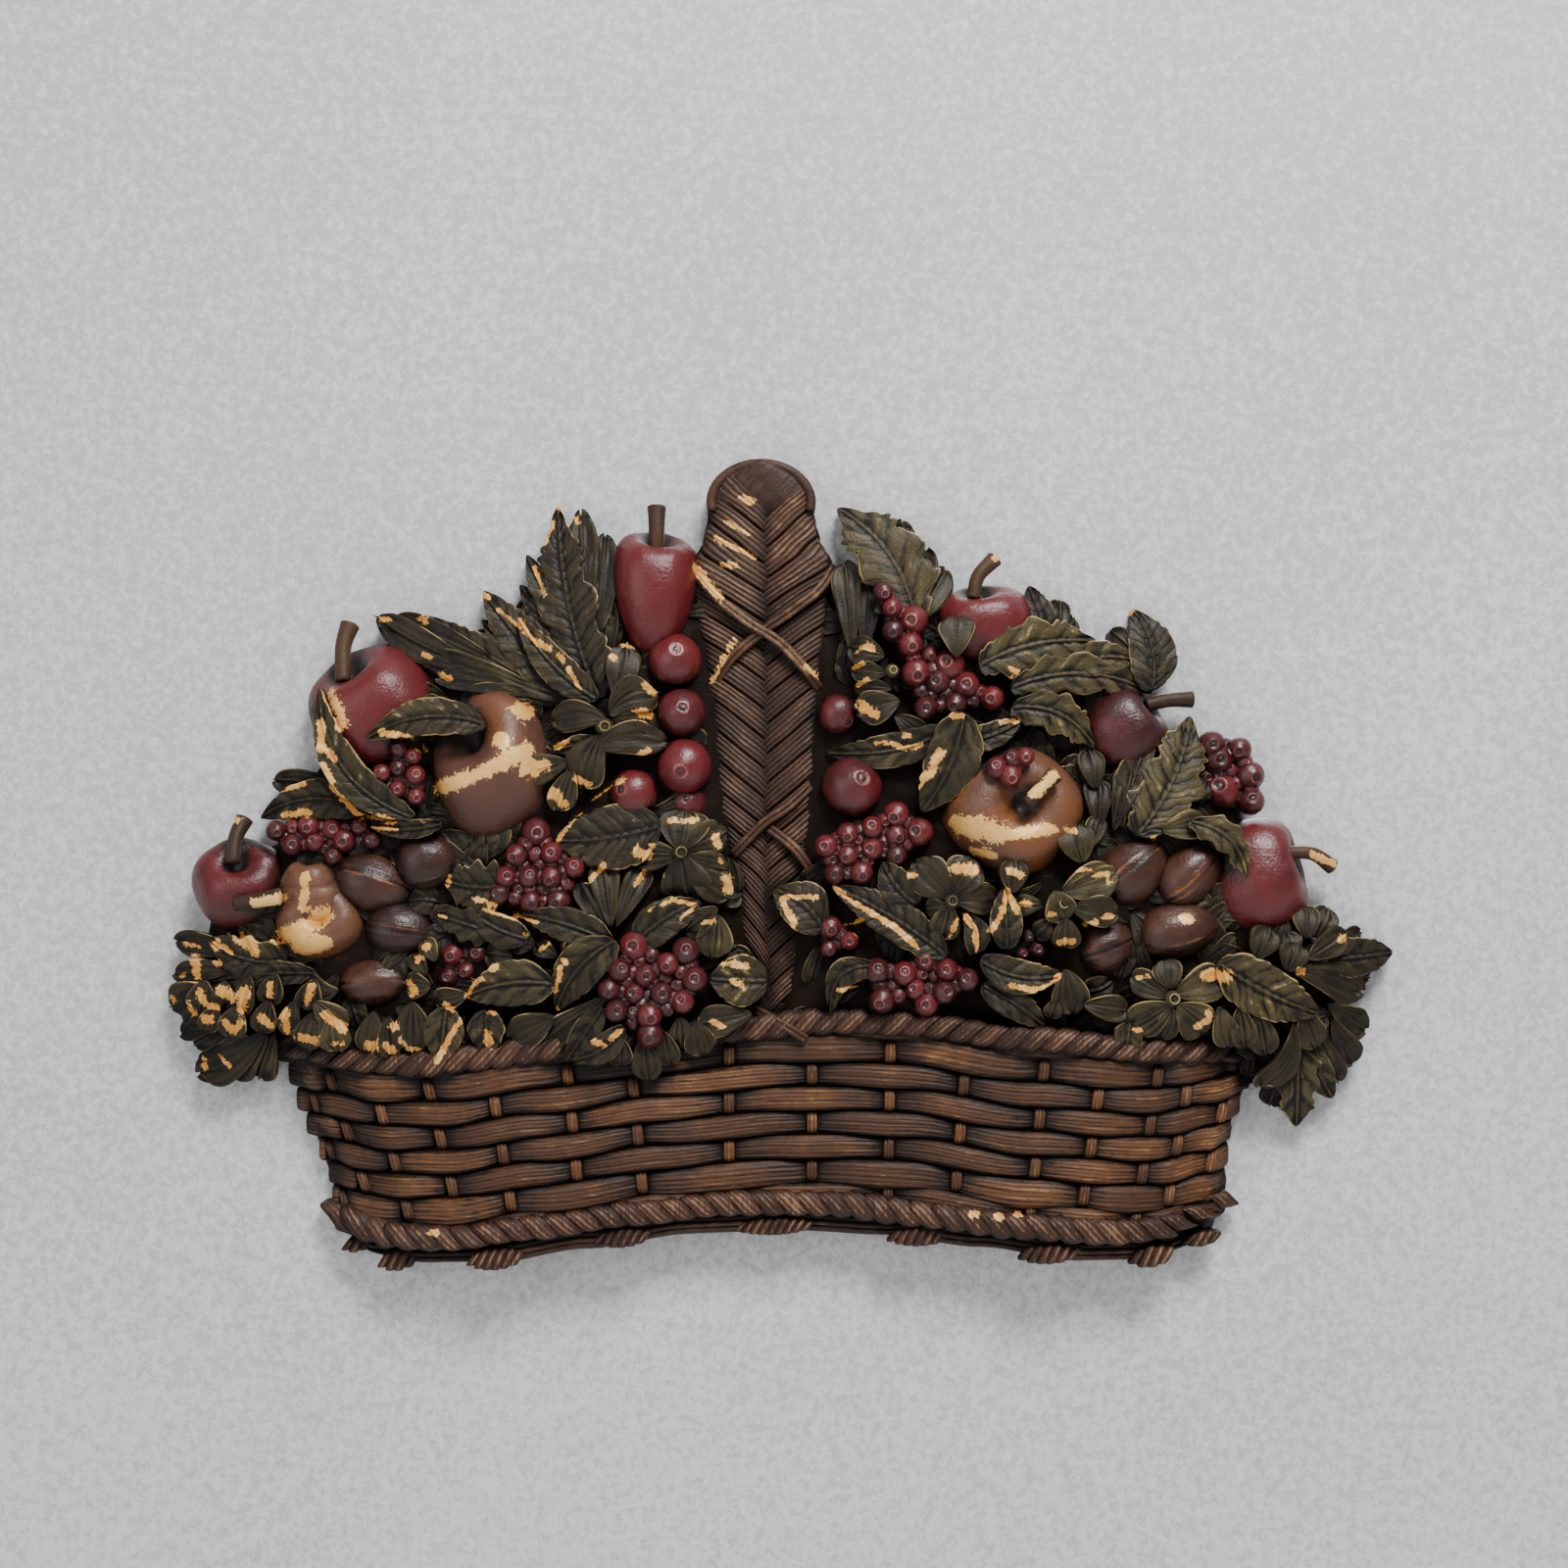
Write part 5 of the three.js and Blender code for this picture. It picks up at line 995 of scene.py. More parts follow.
def leaf(piece, row, tone, fine=1.0):
    """A leaf from its foot to its tip, t along it and s across it from -1 to 1. Its half width
    is the form's curve, cut into lobes and into teeth whose pitch wanders. Its face is a straight
    rise from foot to tip, arched, with puffed halves and a lip along the edge; the sides fall in
    towards a keel. A blade or an oak leaf has a midrib in a groove and slanting side veins, which
    are painted more strongly on some leaves than on others. A petal or a fan has veins along it,
    which draw its end in and out."""
    foot_x, foot_z, tip_x, tip_z, width, bow, foot_h, tip_h, form = row
    outline, teeth, tooth_depth, lobes, lobe_depth, vein_depth, vein_pitch, puff = FORMS[form]
    length = math.hypot(tip_x - foot_x, tip_z - foot_z)
    rows = int(np.clip(length * (1.3 if teeth else 1.0) * fine, 14, 90))
    t = np.linspace(0, 1, rows)[:, None]
    if not teeth:
        t = (1 - np.cos(math.pi * t)) / 2
    s = np.array([-1, -0.965, -0.91, -0.77, -0.58, -0.4, -0.25, -0.12, -0.05, 0,
                  0.05, 0.12, 0.25, 0.4, 0.58, 0.77, 0.91, 0.965, 1])
    reach = outline(np.clip(t, 1e-4, 1 - 1e-4)) * width / 2 * LEAF_FULLNESS
    if teeth:
        wander = 0.45 * np.sin(7.3 * t) + 0.25 * np.sin(17 * t)
        saw = (teeth * length * t + 0.3 * random.random() + wander) % 1
        climb = np.sin(math.pi * saw / (2 * TOOTH_CLIMB))
        fall = np.cos(math.pi * (saw - TOOTH_CLIMB) / (2 * TOOTH_FALL))
        tooth = np.where(saw < TOOTH_CLIMB, climb, fall)
        reach = reach * (1 + tooth_depth * (2 * tooth - 1.1) * (0.8 + 0.4 * np.sin(11 * t)))
    if lobes:
        lobe = 0.5 + 0.5 * np.cos(2 * math.pi * (lobes * t**0.9 + 0.35))
        reach = reach * (1 - lobe_depth * lobe)
    outer = np.abs(s)
    off = outer * reach
    end_curl = random.uniform(0.4, 1.8)
    tilt = random.uniform(-0.13, 0.13)
    swing = random.uniform(0, 6.3)
    base = foot_h + (tip_h - foot_h) * t + 1.1 * np.sin(math.pi * t) - end_curl * t**4
    swell = np.sin(math.pi * np.clip(t, 0.04, 0.96)) ** 0.6
    puffed = puff * width * (0.25 - (outer - 0.5) ** 2) * swell
    lip = 0.55 * bell(outer - 0.9, 0.09)
    is_petal = form in ("petal", "fan")
    if is_petal:
        phase = math.pi * s * max(width / vein_pitch / 2, 1.5)
        phase = phase + 0.5 * np.sin(3 * s + swing) + 0.4 * t
        vein = 1 - 1.8 * np.abs(np.sin(phase)) ** 0.7 + 0.3 * np.sin(2.3 * phase + swing)
        vein = vein * smooth(0.02, 0.25, t) * (1 - 0.35 * t) + 0.25 * np.sin(9 * t + swing)
        rib = 0.0
        reach_end = 1 + 0.05 * np.cos(phase) + 0.03 * np.sin(5 * s + swing)
    else:
        slant = t * length - 1.2 * off + 0.5 * np.sin(0.4 * off + swing)
        phase = 2 * math.pi * slant / vein_pitch
        vein = (1 - 2 * np.abs(np.cos(phase / 2)) ** 3) * smooth(0.06, 0.2, outer)
        vein = vein * (0.75 + 0.25 * np.sin(0.31 * t * length + swing))
        rib = 0.5 * bell(off, 0.5) - 0.9 * bell(off - 1.05, 0.45)
        reach_end = 1
    fade = smooth(0, 0.08, t) * (1 - smooth(0.93, 1, t))
    roll = 0.5 * np.sin(2 * math.pi * t * max(length / 14, 1) + swing) * outer**2
    h = base + puffed + lip + roll + (vein_depth * vein + rib) * fade
    h = h + tilt * s * reach - 0.9 * (outer > 0.99)
    run = np.array([tip_x - foot_x, tip_z - foot_z]) / length
    side = np.array([-run[1], run[0]])
    shift = 4 * bow * t * (1 - t) + s * reach
    ahead = length * t * reach_end
    keel_h = np.maximum(base - LEAF_DEPTH, WALL_GAP)
    x = foot_x + run[0] * ahead + side[0] * shift
    z = foot_z + run[1] * ahead + side[1] * shift
    front = grid(x, z, np.maximum(h, WALL_GAP + 1.2))
    lower = np.array([0.96, 0.55, -0.55, -0.96])
    lower_shift = 4 * bow * t * (1 - t) + lower * reach
    depth = np.concatenate([base - 2.2, keel_h, keel_h, base - 2.2], axis=1)
    under = grid(
        foot_x + run[0] * length * t + side[0] * lower_shift,
        foot_z + run[1] * length * t + side[1] * lower_shift,
        np.maximum(depth, WALL_GAP),
    )
    # Lighter along the lip and on the veins; painted shade in the vein grooves and at the foot.
    edge = 1.9 * bell(outer - 0.965, 0.03) * (0.75 + 0.45 * np.sin(0.23 * t * length + swing))
    rise = edge + 0.75 * (vein * fade) * (1 - outer**6) + 1.2 * rib * fade
    rise = rise - 0.1 - 0.5 * bell(t, 0.15)
    rise = np.concatenate([rise, np.full((rows, len(lower)), -1.0)], axis=1)
    veined = 0.0 if is_petal else 0.35 + 0.65 * swing / 6.3
    lie = grid(length * t, np.append(s, lower) * reach.mean(), veined)
    piece.add(np.concatenate([front, under], axis=1), rise, tone, lie)


# ---------------------------------------------------------------- the ground

GROUND_LEFT = [
    (-6, -74), (-90, -80), (-150, -84), (-204, -82), (-234, -66), (-242, -54), (-240, -38),
    (-236, -16), (-226, 0), (-204, 10), (-200, 28), (-189, 44), (-188, 66), (-170, 84),
    (-146, 92), (-118, 98), (-98, 122), (-78, 124), (-50, 126), (-22, 120),
]
GROUND_RIGHT = [
    (-8, -74), (2, 100), (34, 108), (50, 116), (80, 108), (100, 104), (118, 92), (138, 84),
    (148, 72), (154, 54), (174, 44), (188, 36), (190, 16), (204, 4), (206, -14), (214, -28),
    (232, -40), (228, -54), (230, -72), (214, -92), (204, -88), (188, -80), (120, -76), (50, -72),
]
LEFT_MIDDLE, RIGHT_MIDDLE = (-102, 4), (102, 4)     # each half of the ground draws in to here
BACK_OUTLINE = [               # round the foot's left half, the heap, the handle and back
    (0, -147.5), (-40, -148.5), (-80, -153.5), (-120, -159), (-155, -160.5), (-176, -158),
    (-183, -150), (-185, -130), (-190, -117), (-196, -103), (-203, -88), (-206, -80),
    *GROUND_LEFT[4:19],
    (-37, 123), (-33, 133), (-31, 143), (-30.5, 151), (-27, 158), (-20, 163), (-9.5, 166),
    (1, 163), (9, 158), (12.5, 150), (12.8, 143), (15.5, 132), (20, 122),
    *GROUND_RIGHT[2:20],
    (192, -94), (187, -108), (183, -120), (182, -141), (177, -155), (145, -158.7), (120, -158),
    (80, -153), (40, -149),
]
BACK_MIDDLE = (0, -40)         # the back board's rings draw in to here
CREST_LOW, CREST_HIGH = -80, 130       # z of the basket's rim and of the heap's top
CREST_RIM, CREST_FALL = 25, 12.5       # the crest's h at the rim, and how much lower it is on top
UNDERGROWTH = 230              # small leaves on each half
# The ground's rings: how far out each lies, from the outline in to the middle, and its share of
# the crest's height.
RING_REACH = [1, 0.985, 0.95, 0.9, 0.84, 0.78, 0.7, 0.6, 0.5, 0.4, 0.3, 0.2, 0.1, 0.0]
RING_SHARE = [0.28, 0.42, 0.52, 0.62, 0.72, 0.8, 0.84, 0.87, 0.88, 0.89, 0.9, 0.9, 0.9, 0.9]


def crest_at(z):
    """h of the ground's crest, which falls evenly from the basket's rim to the heap's top."""
    return CREST_RIM - CREST_FALL * (z - CREST_LOW) / (CREST_HIGH - CREST_LOW)


def ground(piece, outline, middle):
    """The ground that carries the heap: rings of an outline drawn in towards its middle. The
    underside lies flat in the back board, and the rings climb from it to a crest that is higher
    at the basket's rim than at the top, with small lumps."""
    corners = np.array(outline + outline[:1], float)
    run = np.concatenate([[0], np.cumsum(np.linalg.norm(np.diff(corners, axis=0), axis=1))])
    at = np.linspace(0, run[-1], 150, endpoint=False)
    edge = np.stack([np.interp(at, run, corners[:, k]) for k in (0, 1)], axis=-1)
    reach = np.array([0, 1, *RING_REACH], float)
    share = np.array([0, 0, *RING_SHARE], float)
    places = np.array(middle) + (edge - np.array(middle)) * reach[:, None, None]
    x, z = places[..., 0], places[..., 1]
    crest = crest_at(z)
    lumps = 0.7 * np.sin(0.42 * x + 1.3 * np.sin(0.2 * z)) * np.sin(0.5 * z)
    h = share[:, None] * crest + lumps * (share > 0.5)[:, None]
    # Painted dark all over, as shade deep among the leaves.
    piece.add(grid(x, z, np.maximum(h, BOARD_COVER)), rise=-0.8, tone=0.5, lie=places)


def back_board(piece):
    """The flat back that closes the whole plaque: its outline drawn in towards its middle, on
    the wall plane and again at the board's thickness, with a small chamfer between."""
    edge = np.array(BACK_OUTLINE, float)[None]
    middle = np.array(BACK_MIDDLE)
    reach = np.array([0, 0.5, 0.93, 0.97, 0.985, 0.985, 0.97, 0.5, 0])[:, None]
    h = np.array([0, 0, 0, 0, 0.5, 2.5, BOARD_THICK, BOARD_THICK, BOARD_THICK])[:, None]
    places = middle + (edge - middle) * reach[..., None]
    piece.add(grid(places[..., 0], places[..., 1], h), rise=0.0, tone=0.4, lie=places)


def undergrowth(piece, outline, middle, count):
    """Small dark leaves all over the ground, between the larger ones: places are drawn at random
    inside the outline, and each leaf points away from the middle, give or take a quarter of a
    turn."""
    corners = np.array(outline, float)
    for _ in range(count):
        corner = random.integers(len(corners))
        share = random.random()
        edge = corners[corner - 1] * share + corners[corner] * (1 - share)
        is_free = abs(edge[0]) > 30 and edge[1] > -68
        reach = (0.86 if is_free else 0.99) * math.sqrt(random.uniform(0.02, 1))
        x, z = np.array(middle) + (edge - np.array(middle)) * reach
        heading = math.atan2(z - middle[1], x - middle[0]) + random.uniform(-1.5, 1.5)
        length, width = random.uniform(13, 19), random.uniform(8, 12)
        floor_h = crest_at(z) * np.interp(reach, RING_REACH[::-1], RING_SHARE[::-1])
        row = (
            x - 0.5 * length * math.cos(heading), z - 0.5 * length * math.sin(heading),
            x + 0.5 * length * math.cos(heading), z + 0.5 * length * math.sin(heading),
            width, random.uniform(-2, 2), floor_h + 0.5, floor_h + random.uniform(0.5, 2.5),
            str(random.choice(["petal", "blade", "fan"])),
        )
        leaf(piece, row, tone=0.15, fine=0.7)


def between_berries(cluster):
    """Smaller berries in the gaps of a cluster: one at the middle of every two that stand near
    each other, unless a berry is there already."""
    berries = np.array(cluster, float)
    first, second = np.triu_indices(len(berries), 1)
    gap = np.linalg.norm(berries[first, :2] - berries[second, :2], axis=1)
    size = (berries[first, 2] + berries[second, 2]) / 2
    close = (gap > 1.5 * size) & (gap < 3.3 * size)
    middles = (berries[first, :2] + berries[second, :2])[close] / 2
    kept = []
    for x, z in middles:
        others = np.array([*berries[:, :2], *kept])
        if np.linalg.norm(others - (x, z), axis=1).min() > 3.4:
            kept.append((x, z))
    return kept


# ---------------------------------------------------------------- paint


class Value:
    """An output of a shader node, with the ordinary signs of arithmetic."""

    def __init__(self, paint, socket):
        self.paint, self.socket = paint, socket

    def maths(self, operation, *others):
        inputs = dict(enumerate((self, *others)))
        return self.paint.node("ShaderNodeMath", {"operation": operation}, inputs)

    def __add__(self, other):
        return self.maths("ADD", other)

    def __sub__(self, other):
        return self.maths("SUBTRACT", other)

    def __mul__(self, other):
        return self.maths("MULTIPLY", other)

    def __rsub__(self, other):
        return (self * -1) + other

    def __pow__(self, other):
        return self.maths("POWER", other)

    __radd__, __rmul__ = __add__, __mul__

    def step(self, low, high):
        """0 where this is below low, 1 above high, and a smooth step between."""
        ranges = {"Value": self, "From Min": low, "From Max": high}
        return self.paint.node("ShaderNodeMapRange", {"interpolation_type": "SMOOTHSTEP"}, ranges)

    def scaled(self, x, y, z):
        """This vector times another."""
        inputs = {0: self, 1: (x, y, z)}
        return self.paint.node("ShaderNodeVectorMath", {"operation": "MULTIPLY"}, inputs)


class Paint:
    """A material under construction."""

    def __init__(self, name):
        self.material = bpy.data.materials.new(name)
        self.material.use_nodes = True
        self.tree = self.material.node_tree
        self.tree.nodes.clear()

    def node(self, kind, settings=None, inputs=None, output=0):
        """A node of a kind with its settings and socket values; gives one of its outputs."""
        made = self.tree.nodes.new(kind)
        for key, value in (settings or {}).items():
            setattr(made, key, value)
        for key, value in (inputs or {}).items():
            if isinstance(value, Value):
                self.tree.links.new(value.socket, made.inputs[key])
            else:
                made.inputs[key].default_value = value
        return Value(self, made.outputs[output])

    def attribute(self, name, output="Fac"):
        return self.node("ShaderNodeAttribute", {"attribute_name": name}, output=output)

    def noise(self, place, scale, detail=2.0, roughness=0.5):
        """Cloud noise around 0.5, over places in metres."""
        inputs = {"Vector": place, "Scale": scale, "Detail": detail, "Roughness": roughness}
        return self.node("ShaderNodeTexNoise", inputs=inputs)

    def blend(self, share, low, high):
        """low where share is 0, high where it is 1; both are colours."""
        inputs = {0: share, 6: low, 7: high}
        return self.node("ShaderNodeMix", {"data_type": "RGBA"}, inputs, output=2)

    def finish(self, **inputs):
        """Ends in a principled surface."""
        inputs = {name.replace("_", " "): value for name, value in inputs.items()}
        return self.end(self.node("ShaderNodeBsdfPrincipled", inputs=inputs))

    def end(self, surface):
        """Gives the material, with this as its surface."""
        out = self.tree.nodes.new("ShaderNodeOutputMaterial")
        self.tree.links.new(surface.socket, out.inputs["Surface"])
        return self.material


def hexed(code):
    """A colour code such as 4a3226 as linear red, green, blue and 1."""
    parts = [int(code[k:k + 2], 16) / 255 for k in (0, 2, 4)]
    return (*(p / 12.92 if p <= 0.04045 else ((p + 0.055) / 1.055) ** 2.4 for p in parts), 1.0)


GOLD_LEAF, GOLD_PALE = hexed("c98a3a"), hexed("f0c67c")
# The near-black of the glazing in the crevices, which is also their painted shade.
GLAZE_AND_SHADE = hexed("100904")
SIDE_VEIN = 0.0042             # from one side vein of a leaf to the next


def worn_paint(name, dark, middle, light, other, worn, wash=None, shine=0.5, lumps=0.0,
               glaze_and_shade_share=0.9, fibre=1.1, gloss=0.25):
    """Paint over a moulding: a blotched middle shade that drifts to a second one, painted darker
    in its own grooves as shade, with a near-black glazing where it lies below its surroundings,
    which is also painted shade in the crevices; light where edges are rubbed, and on crests as
    painted light; with a wash of another colour in patches, and rubbed gold. worn is the level
    above which edges are rubbed, so less of it shows more wear."""
    paint = Paint(name)
    place = paint.node("ShaderNodeTexCoord", output="Object")
    rise, tone, gold, hollow = (paint.attribute(key) for key in ("rise", "tone", "gold", "hollow"))
    lie = paint.attribute("lie", "Vector")
    blotch = paint.noise(place, 42, 4, 0.6)
    fine = paint.noise(place, 260, 4, 0.6)
    speck = paint.noise(place, 900, 2)
    grain = paint.noise(lie.scaled(60, 1100, 0), 1, 4)
    along, across, veined = (
        paint.node("ShaderNodeSeparateXYZ", inputs={0: lie}, output=k) for k in range(3)
    )
    wavering = (paint.noise(place, 130, 1) - 0.5) * 0.004
    slant = along - across.maths("ABSOLUTE") * 1.1 + wavering
    between = (slant * (math.pi / SIDE_VEIN)).maths("SINE").maths("ABSOLUTE") ** 0.45
    veins = (between - 0.8) * veined
    # Low in grooves and crevices, painted darker as shade; high on crests, painted lighter.
    level = (
        rise + veins * 1.2 + (fine - 0.5) * 1.3 + (grain - 0.5) * fibre + (speck - 0.5) * 0.6
        - hollow * 0.7
    )
    colour = paint.blend((blotch + tone * 0.4 - 0.2).step(0.36, 0.66), hexed(middle), hexed(other))
    if wash:
        amber = paint.noise(place, 27, 3).step(0.50, 0.66)
        colour = paint.blend(amber * 0.7, colour, hexed(wash))
    colour = paint.blend(level.step(-0.8, 0.45), hexed(dark), colour)
    # A near-black glazing below the surroundings, which is also painted shade in crevices.
    glaze_and_shade = (hollow + (fine - 0.5) * 0.7 + (blotch - 0.5) * 0.5).step(0.10, 0.62)
    colour = paint.blend(glaze_and_shade * glaze_and_shade_share, colour, GLAZE_AND_SHADE)
    # Lighter where edges are rubbed, and on crests, where it is painted light.
    rubbed = (level + (blotch - 0.5) * 1.6 + tone * 0.3).step(worn, worn + 0.8)
    colour = paint.blend(rubbed * 0.75, colour, hexed(light))
    frayed = (fine - 0.5) * 1.1 + (speck - 0.5) * 0.9
    touched = (gold + rise * 0.12 - hollow * 0.2 + frayed).step(0.42, 0.58) * gold.step(0.0, 0.10)
    golden = paint.blend(level.step(-0.4, 1.6), GOLD_LEAF, GOLD_PALE)
    colour = paint.blend(touched, colour, golden)
    rough = (fine - 0.5) * 0.35 + (glaze_and_shade * 0.15) + (0.78 - shine * 0.5)
    height = grain * (fibre * 0.5) + fine * 0.8 + speck * 0.6 + veins * 1.2
    if lumps:
        height = height + paint.noise(place, 110, 3) * lumps
    bump = paint.node("ShaderNodeBump", inputs={
        "Strength": 0.5, "Distance": 0.0006, "Height": height,
    })
    return paint.finish(
        Base_Color=colour, Roughness=rough, Metallic=touched * 0.15, Normal=bump,
        Specular_IOR_Level=gloss,
    )


basket_paint = worn_paint(
    "basket_brown", "150c08", "462b19", "aa7d50", "603d22", worn=0.9, fibre=2.2, gloss=0.3,
)
rope_paint = worn_paint(
    "rope_brown", "110906", "352219", "8c6c52", "472d20", worn=0.95, fibre=1.8,
)
handle_paint = worn_paint(
    "handle_brown", "0f0806", "38251b", "977657", "4a3123", worn=0.8, fibre=1.8,
)
leaf_paint = worn_paint(
    "leaf_olive", "0a0704", "2c2413", "ae9662", "453c23", worn=1.05, shine=0.55,
)
ground_paint = worn_paint(
    "ground_brown", "140a04", "281508", "5c3418", "341c0c", worn=1.2, wash="7a3e12", glaze_and_shade_share=0.4,
    gloss=0.1,
)
apple_paint = worn_paint(
    "fruit_maroon", "190807", "5a1a1d", "a84a4a", "351315", worn=1.9, shine=0.8, lumps=1.8,
    gloss=0.45, fibre=0.4,
)
gold_paint = worn_paint(
    "fruit_gold", "1d0f09", "50332a", "b06c36", "63402c", worn=1.9, shine=0.7, lumps=1.8,
    wash="74431f", gloss=0.4, fibre=0.4,
)
berry_paint = worn_paint(
    "berry_red", "100504", "401518", "a0605a", "5e1d20", worn=1.35, shine=0.85, gloss=0.5,
    fibre=0.4,
)
nut_paint = worn_paint(
    "nut_brown", "0b0504", "2a1712", "9a5a2c", "44261a", worn=1.2, shine=0.8, lumps=0.8,
    gloss=0.45, fibre=0.6,
)
back_paint = worn_paint(
    "back_brown", "1c120c", "3c2c20", "5e4836", "463426", worn=1.9, glaze_and_shade_share=0.2, gloss=0.15,
)
stalk_paint = worn_paint("stalk_brown", "120a07", "34231a", "a07242", "453020", worn=1.2)


# ---------------------------------------------------------------- the pieces

basket = Moulding("basket")
basket_bed(basket)
weave(basket)

ropes = Moulding("ropes_and_foot")
rope(ropes, UPPER_ROPE, 1)
rope(ropes, LOWER_ROPE, -1)
foot(ropes)

plait = Moulding("handle")
handle(plait)

bed = Moulding("ground")
ground(bed, GROUND_LEFT, LEFT_MIDDLE)
ground(bed, GROUND_RIGHT, RIGHT_MIDDLE)

board = Moulding("back_board")
back_board(board)

leaves_left, leaves_right = Moulding("leaves_left"), Moulding("leaves_right")
for row in LEAVES:
    is_green = row[-1] == "oak" and row[0] > 40
    side = leaves_left if row[0] + row[2] < 0 else leaves_right
    leaf(side, row, tone=0.9 if is_green else 0.6 * random.random())

undergrowth_left, undergrowth_right = Moulding("undergrowth_left"), Moulding("undergrowth_right")
undergrowth(undergrowth_left, GROUND_LEFT, LEFT_MIDDLE, UNDERGROWTH)
undergrowth(undergrowth_right, GROUND_RIGHT, RIGHT_MIDDLE, UNDERGROWTH)

apples = Moulding("apples")
for row in APPLES:
    big_fruit(apples, row, lobes=5, lobe_depth=0.035)

gold_fruit = Moulding("gold_fruit")
for row in GOLD_FRUIT:
    big_fruit(gold_fruit, row, lobes=4, lobe_depth=0.045)

nuts = Moulding("nuts")
for row in NUTS:
    nut(nuts, *row)

berries = Moulding("berries")
for x, z, radius, front, eye_x, eye_z in CHERRIES:
    eyed_ball(berries, x, z, radius, front, (eye_x, eye_z), CHERRY_EYE, 28)
for front, cluster in BERRIES:
    for x, z, radius in cluster:
        look = random.uniform(-0.35, 0.35, 2) * radius
        height = front - random.uniform(0, 1.5)
        eyed_ball(berries, x, z, radius * 1.06, height, look, BERRY_EYE, 16)
    for x, z in between_berries(cluster):
        look = random.uniform(-0.5, 0.5, 2) * 3.8
        height = front - random.uniform(2.8, 4.2)
        eyed_ball(berries, x, z, 3.9, height, look, BERRY_EYE, 14)

stalks = Moulding("stalks")
for points, width in STALKS:
    stalks.add(bar(points, width, 20, 14, flare=0.25), rise=0.3)

hearts = Moulding("blossom_hearts")
for x, z, radius, front in HEARTS:
    eyed_ball(hearts, x, z, radius, front, (0.5, 0.5), HEART_EYE, 20)

finishes = {
    basket: (basket_paint, "basket_brown"),
    ropes: (rope_paint, "basket_brown"),
    plait: (handle_paint, "basket_brown"),
    bed: (ground_paint, "leaf_olive"),
    board: (back_paint, "basket_brown"),
    leaves_left: (leaf_paint, "leaf_olive"),
    leaves_right: (leaf_paint, "leaf_olive"),
    undergrowth_left: (leaf_paint, "leaf_olive"),
    undergrowth_right: (leaf_paint, "leaf_olive"),
    apples: (apple_paint, "fruit_maroon"),
    gold_fruit: (gold_paint, "fruit_gold"),
    nuts: (nut_paint, "nut_brown"),
    berries: (berry_paint, "berry_red"),
    stalks: (stalk_paint, "nut_brown"),
    hearts: (leaf_paint, "leaf_olive"),
}
relief = Relief(finishes)
for moulding, (material, slot) in finishes.items():
    moulding.finish(material, slot, relief)


# ---------------------------------------------------------------- the room


def flat_sheet(name, corners, material):
    """A sheet of one face, through its four corners in turn."""
    mesh = bpy.data.meshes.new(name)
    mesh.from_pydata(corners, [], [(0, 1, 2, 3)])
    mesh.materials.append(material)
    sheet = bpy.data.objects.new(name, mesh)
    bpy.context.scene.collection.objects.link(sheet)
    return sheet


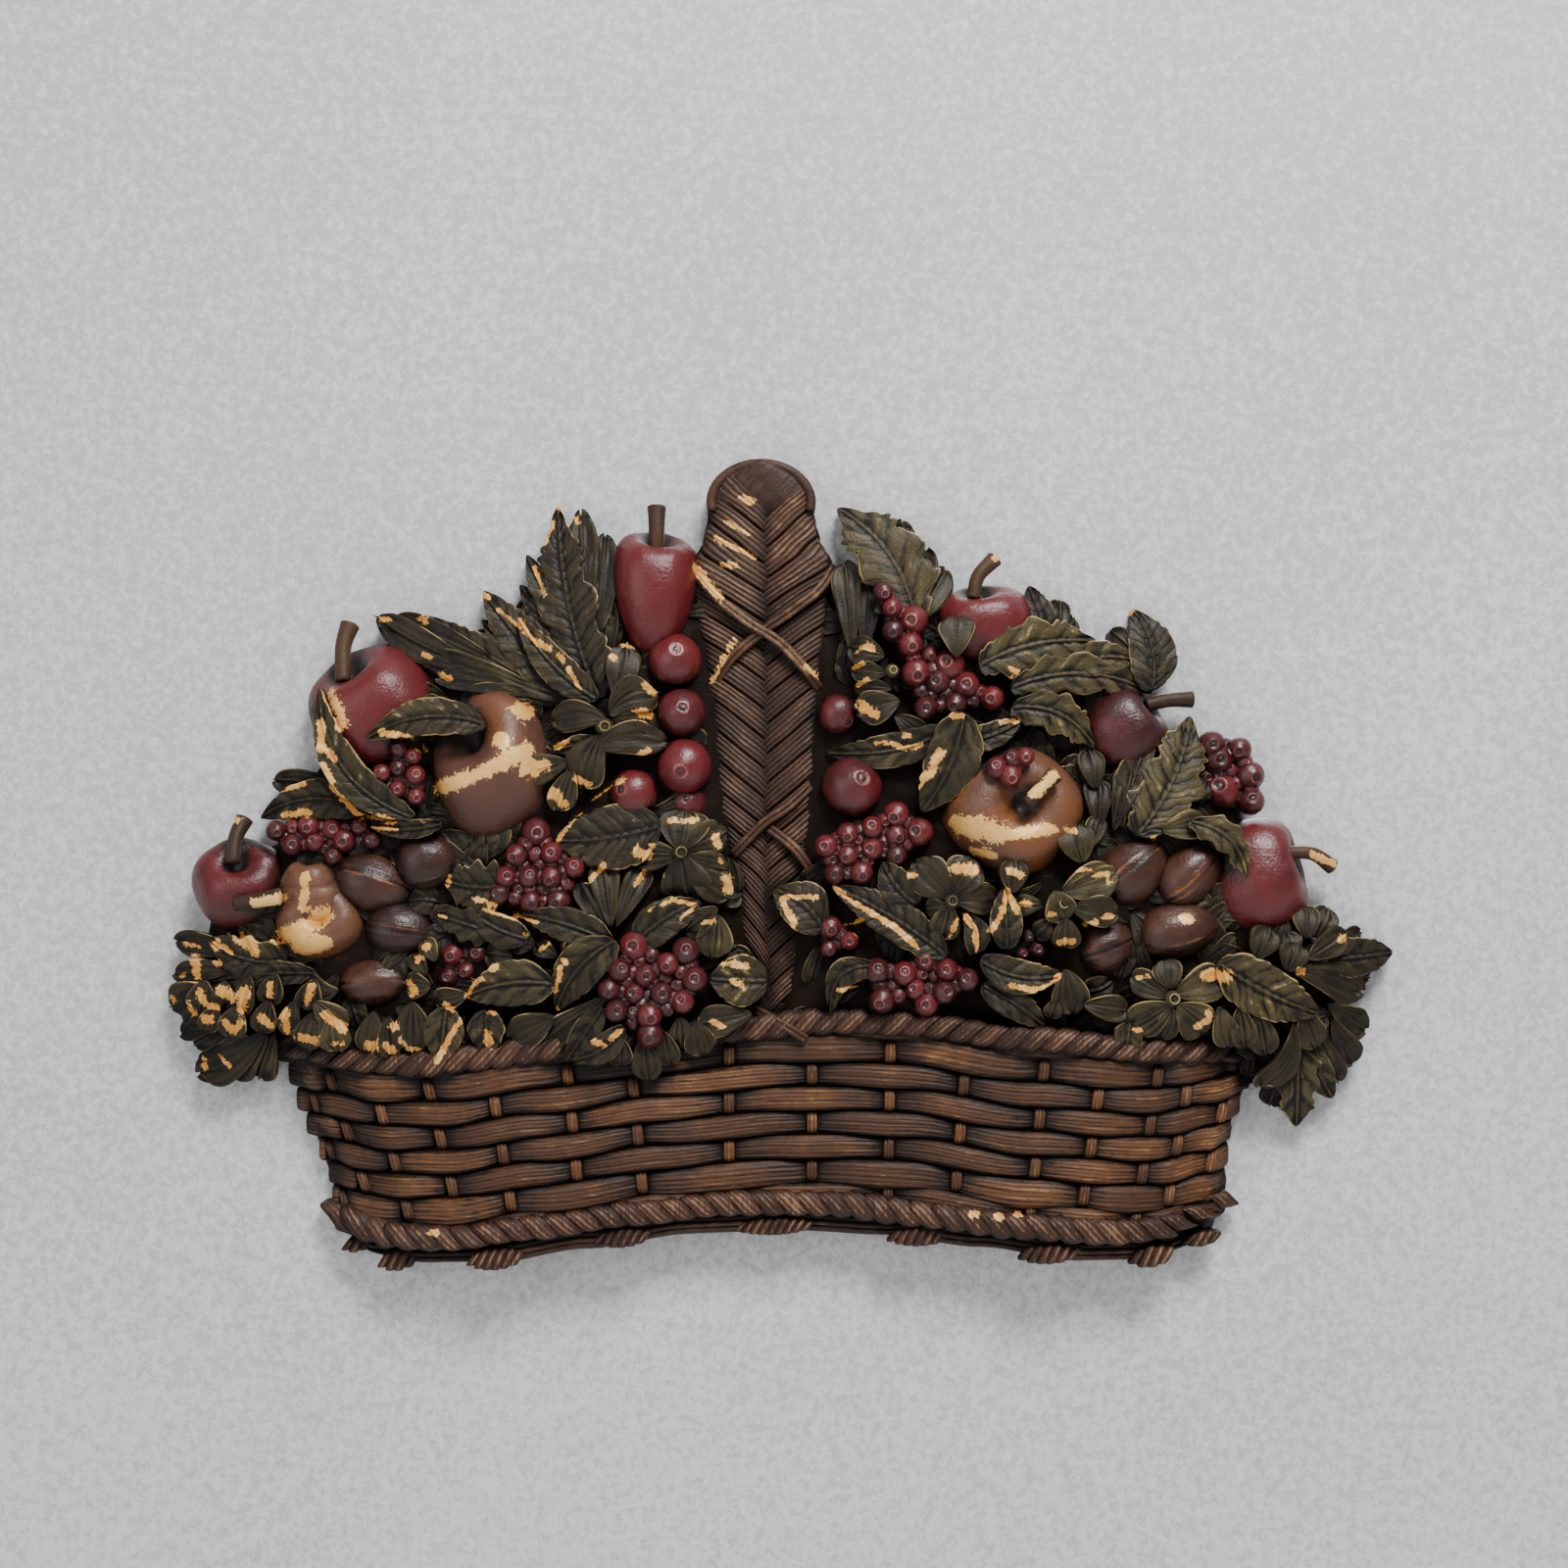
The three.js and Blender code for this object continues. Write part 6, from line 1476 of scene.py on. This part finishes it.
def cloth_paint():
    """A pale grey cloth with a fine weave, painted a little darker higher up as shade. It is seen
    from the front only."""
    paint = Paint("wall_cloth")
    place = paint.node("ShaderNodeTexCoord", output="Object")
    inputs = {"Vector": place, "Scale": 260.0}
    weave_x = paint.node("ShaderNodeTexWave", {"bands_direction": "X"}, inputs)
    weave_z = paint.node("ShaderNodeTexWave", {"bands_direction": "Z"}, inputs)
    cloud = paint.noise(place, 6, 3)
    fibre = paint.noise(place, 700, 2)
    felt = paint.noise(place, 260, 5, 0.75)
    height = paint.node("ShaderNodeSeparateXYZ", inputs={0: place}, output=2)
    # Painted shade: the cloth is darker higher up.
    pale = cloud * 0.4 + (felt - 0.5) * 2.4 + (fibre - 0.5) * 0.8 + 0.73 - height * 0.36
    colour = paint.blend(pale.step(0.6, 1.3), hexed("b3b4b6"), hexed("d4d4d5"))
    bump = paint.node("ShaderNodeBump", inputs={
        "Strength": 0.3, "Distance": 0.0003, "Height": weave_x * 0.3 + weave_z * 0.3 + fibre,
    })
    surface = paint.node("ShaderNodeBsdfPrincipled", inputs={
        "Base Color": colour, "Roughness": 0.9, "Normal": bump,
    })
    clear = paint.node("ShaderNodeBsdfTransparent")
    behind = paint.node("ShaderNodeNewGeometry", output="Backfacing")
    return paint.end(paint.node("ShaderNodeMixShader", inputs={0: behind, 1: surface, 2: clear}))


WALL_Y = 0.0008                # the cloth hangs just behind the plaque's flat back
FLOOR_Z = -0.45
wall = flat_sheet("wall", [
    (-0.9, WALL_Y, FLOOR_Z), (0.9, WALL_Y, FLOOR_Z), (0.9, WALL_Y, 0.9), (-0.9, WALL_Y, 0.9),
], cloth_paint())
wall.visible_shadow = False
floor_paint = Paint("floor").finish(Base_Color=hexed("c8c8c8"), Roughness=0.9)
flat_sheet("floor", [
    (-2.0, -2.0, FLOOR_Z), (2.0, -2.0, FLOOR_Z), (2.0, 1.0, FLOOR_Z), (-2.0, 1.0, FLOOR_Z),
], floor_paint)


def soft_light(name, place, size, watts):
    """A square soft light at a place, turned to face the middle of the plaque."""
    data = bpy.data.lights.new(name, "AREA")
    data.shape, data.size, data.energy = "SQUARE", size, watts
    lamp = bpy.data.objects.new(name, data)
    lamp.location = place
    lamp.rotation_euler = mathutils.Vector(place).to_track_quat("Z", "Y").to_euler()
    bpy.context.scene.collection.objects.link(lamp)


soft_light("key", (0.35, -0.95, 1.15), 0.5, 34)
soft_light("fill", (-0.9, -1.2, 0.25), 1.0, 7)
soft_light("back", (0.3, 1.0, 0.6), 0.6, 22)

world = bpy.data.worlds.new("room")
world.use_nodes = True
background = world.node_tree.nodes["Background"]
background.inputs["Color"].default_value = (1.0, 0.985, 0.96, 1)
background.inputs["Strength"].default_value = 0.30
bpy.context.scene.world = world

lens = bpy.data.cameras.new("camera")
lens.lens, lens.sensor_width = 49.5, 36
camera = bpy.data.objects.new("camera", lens)
camera.location = (0, -0.9, 0.032)
camera.rotation_euler = (math.radians(90), 0, 0)
bpy.context.scene.collection.objects.link(camera)
bpy.context.scene.camera = camera
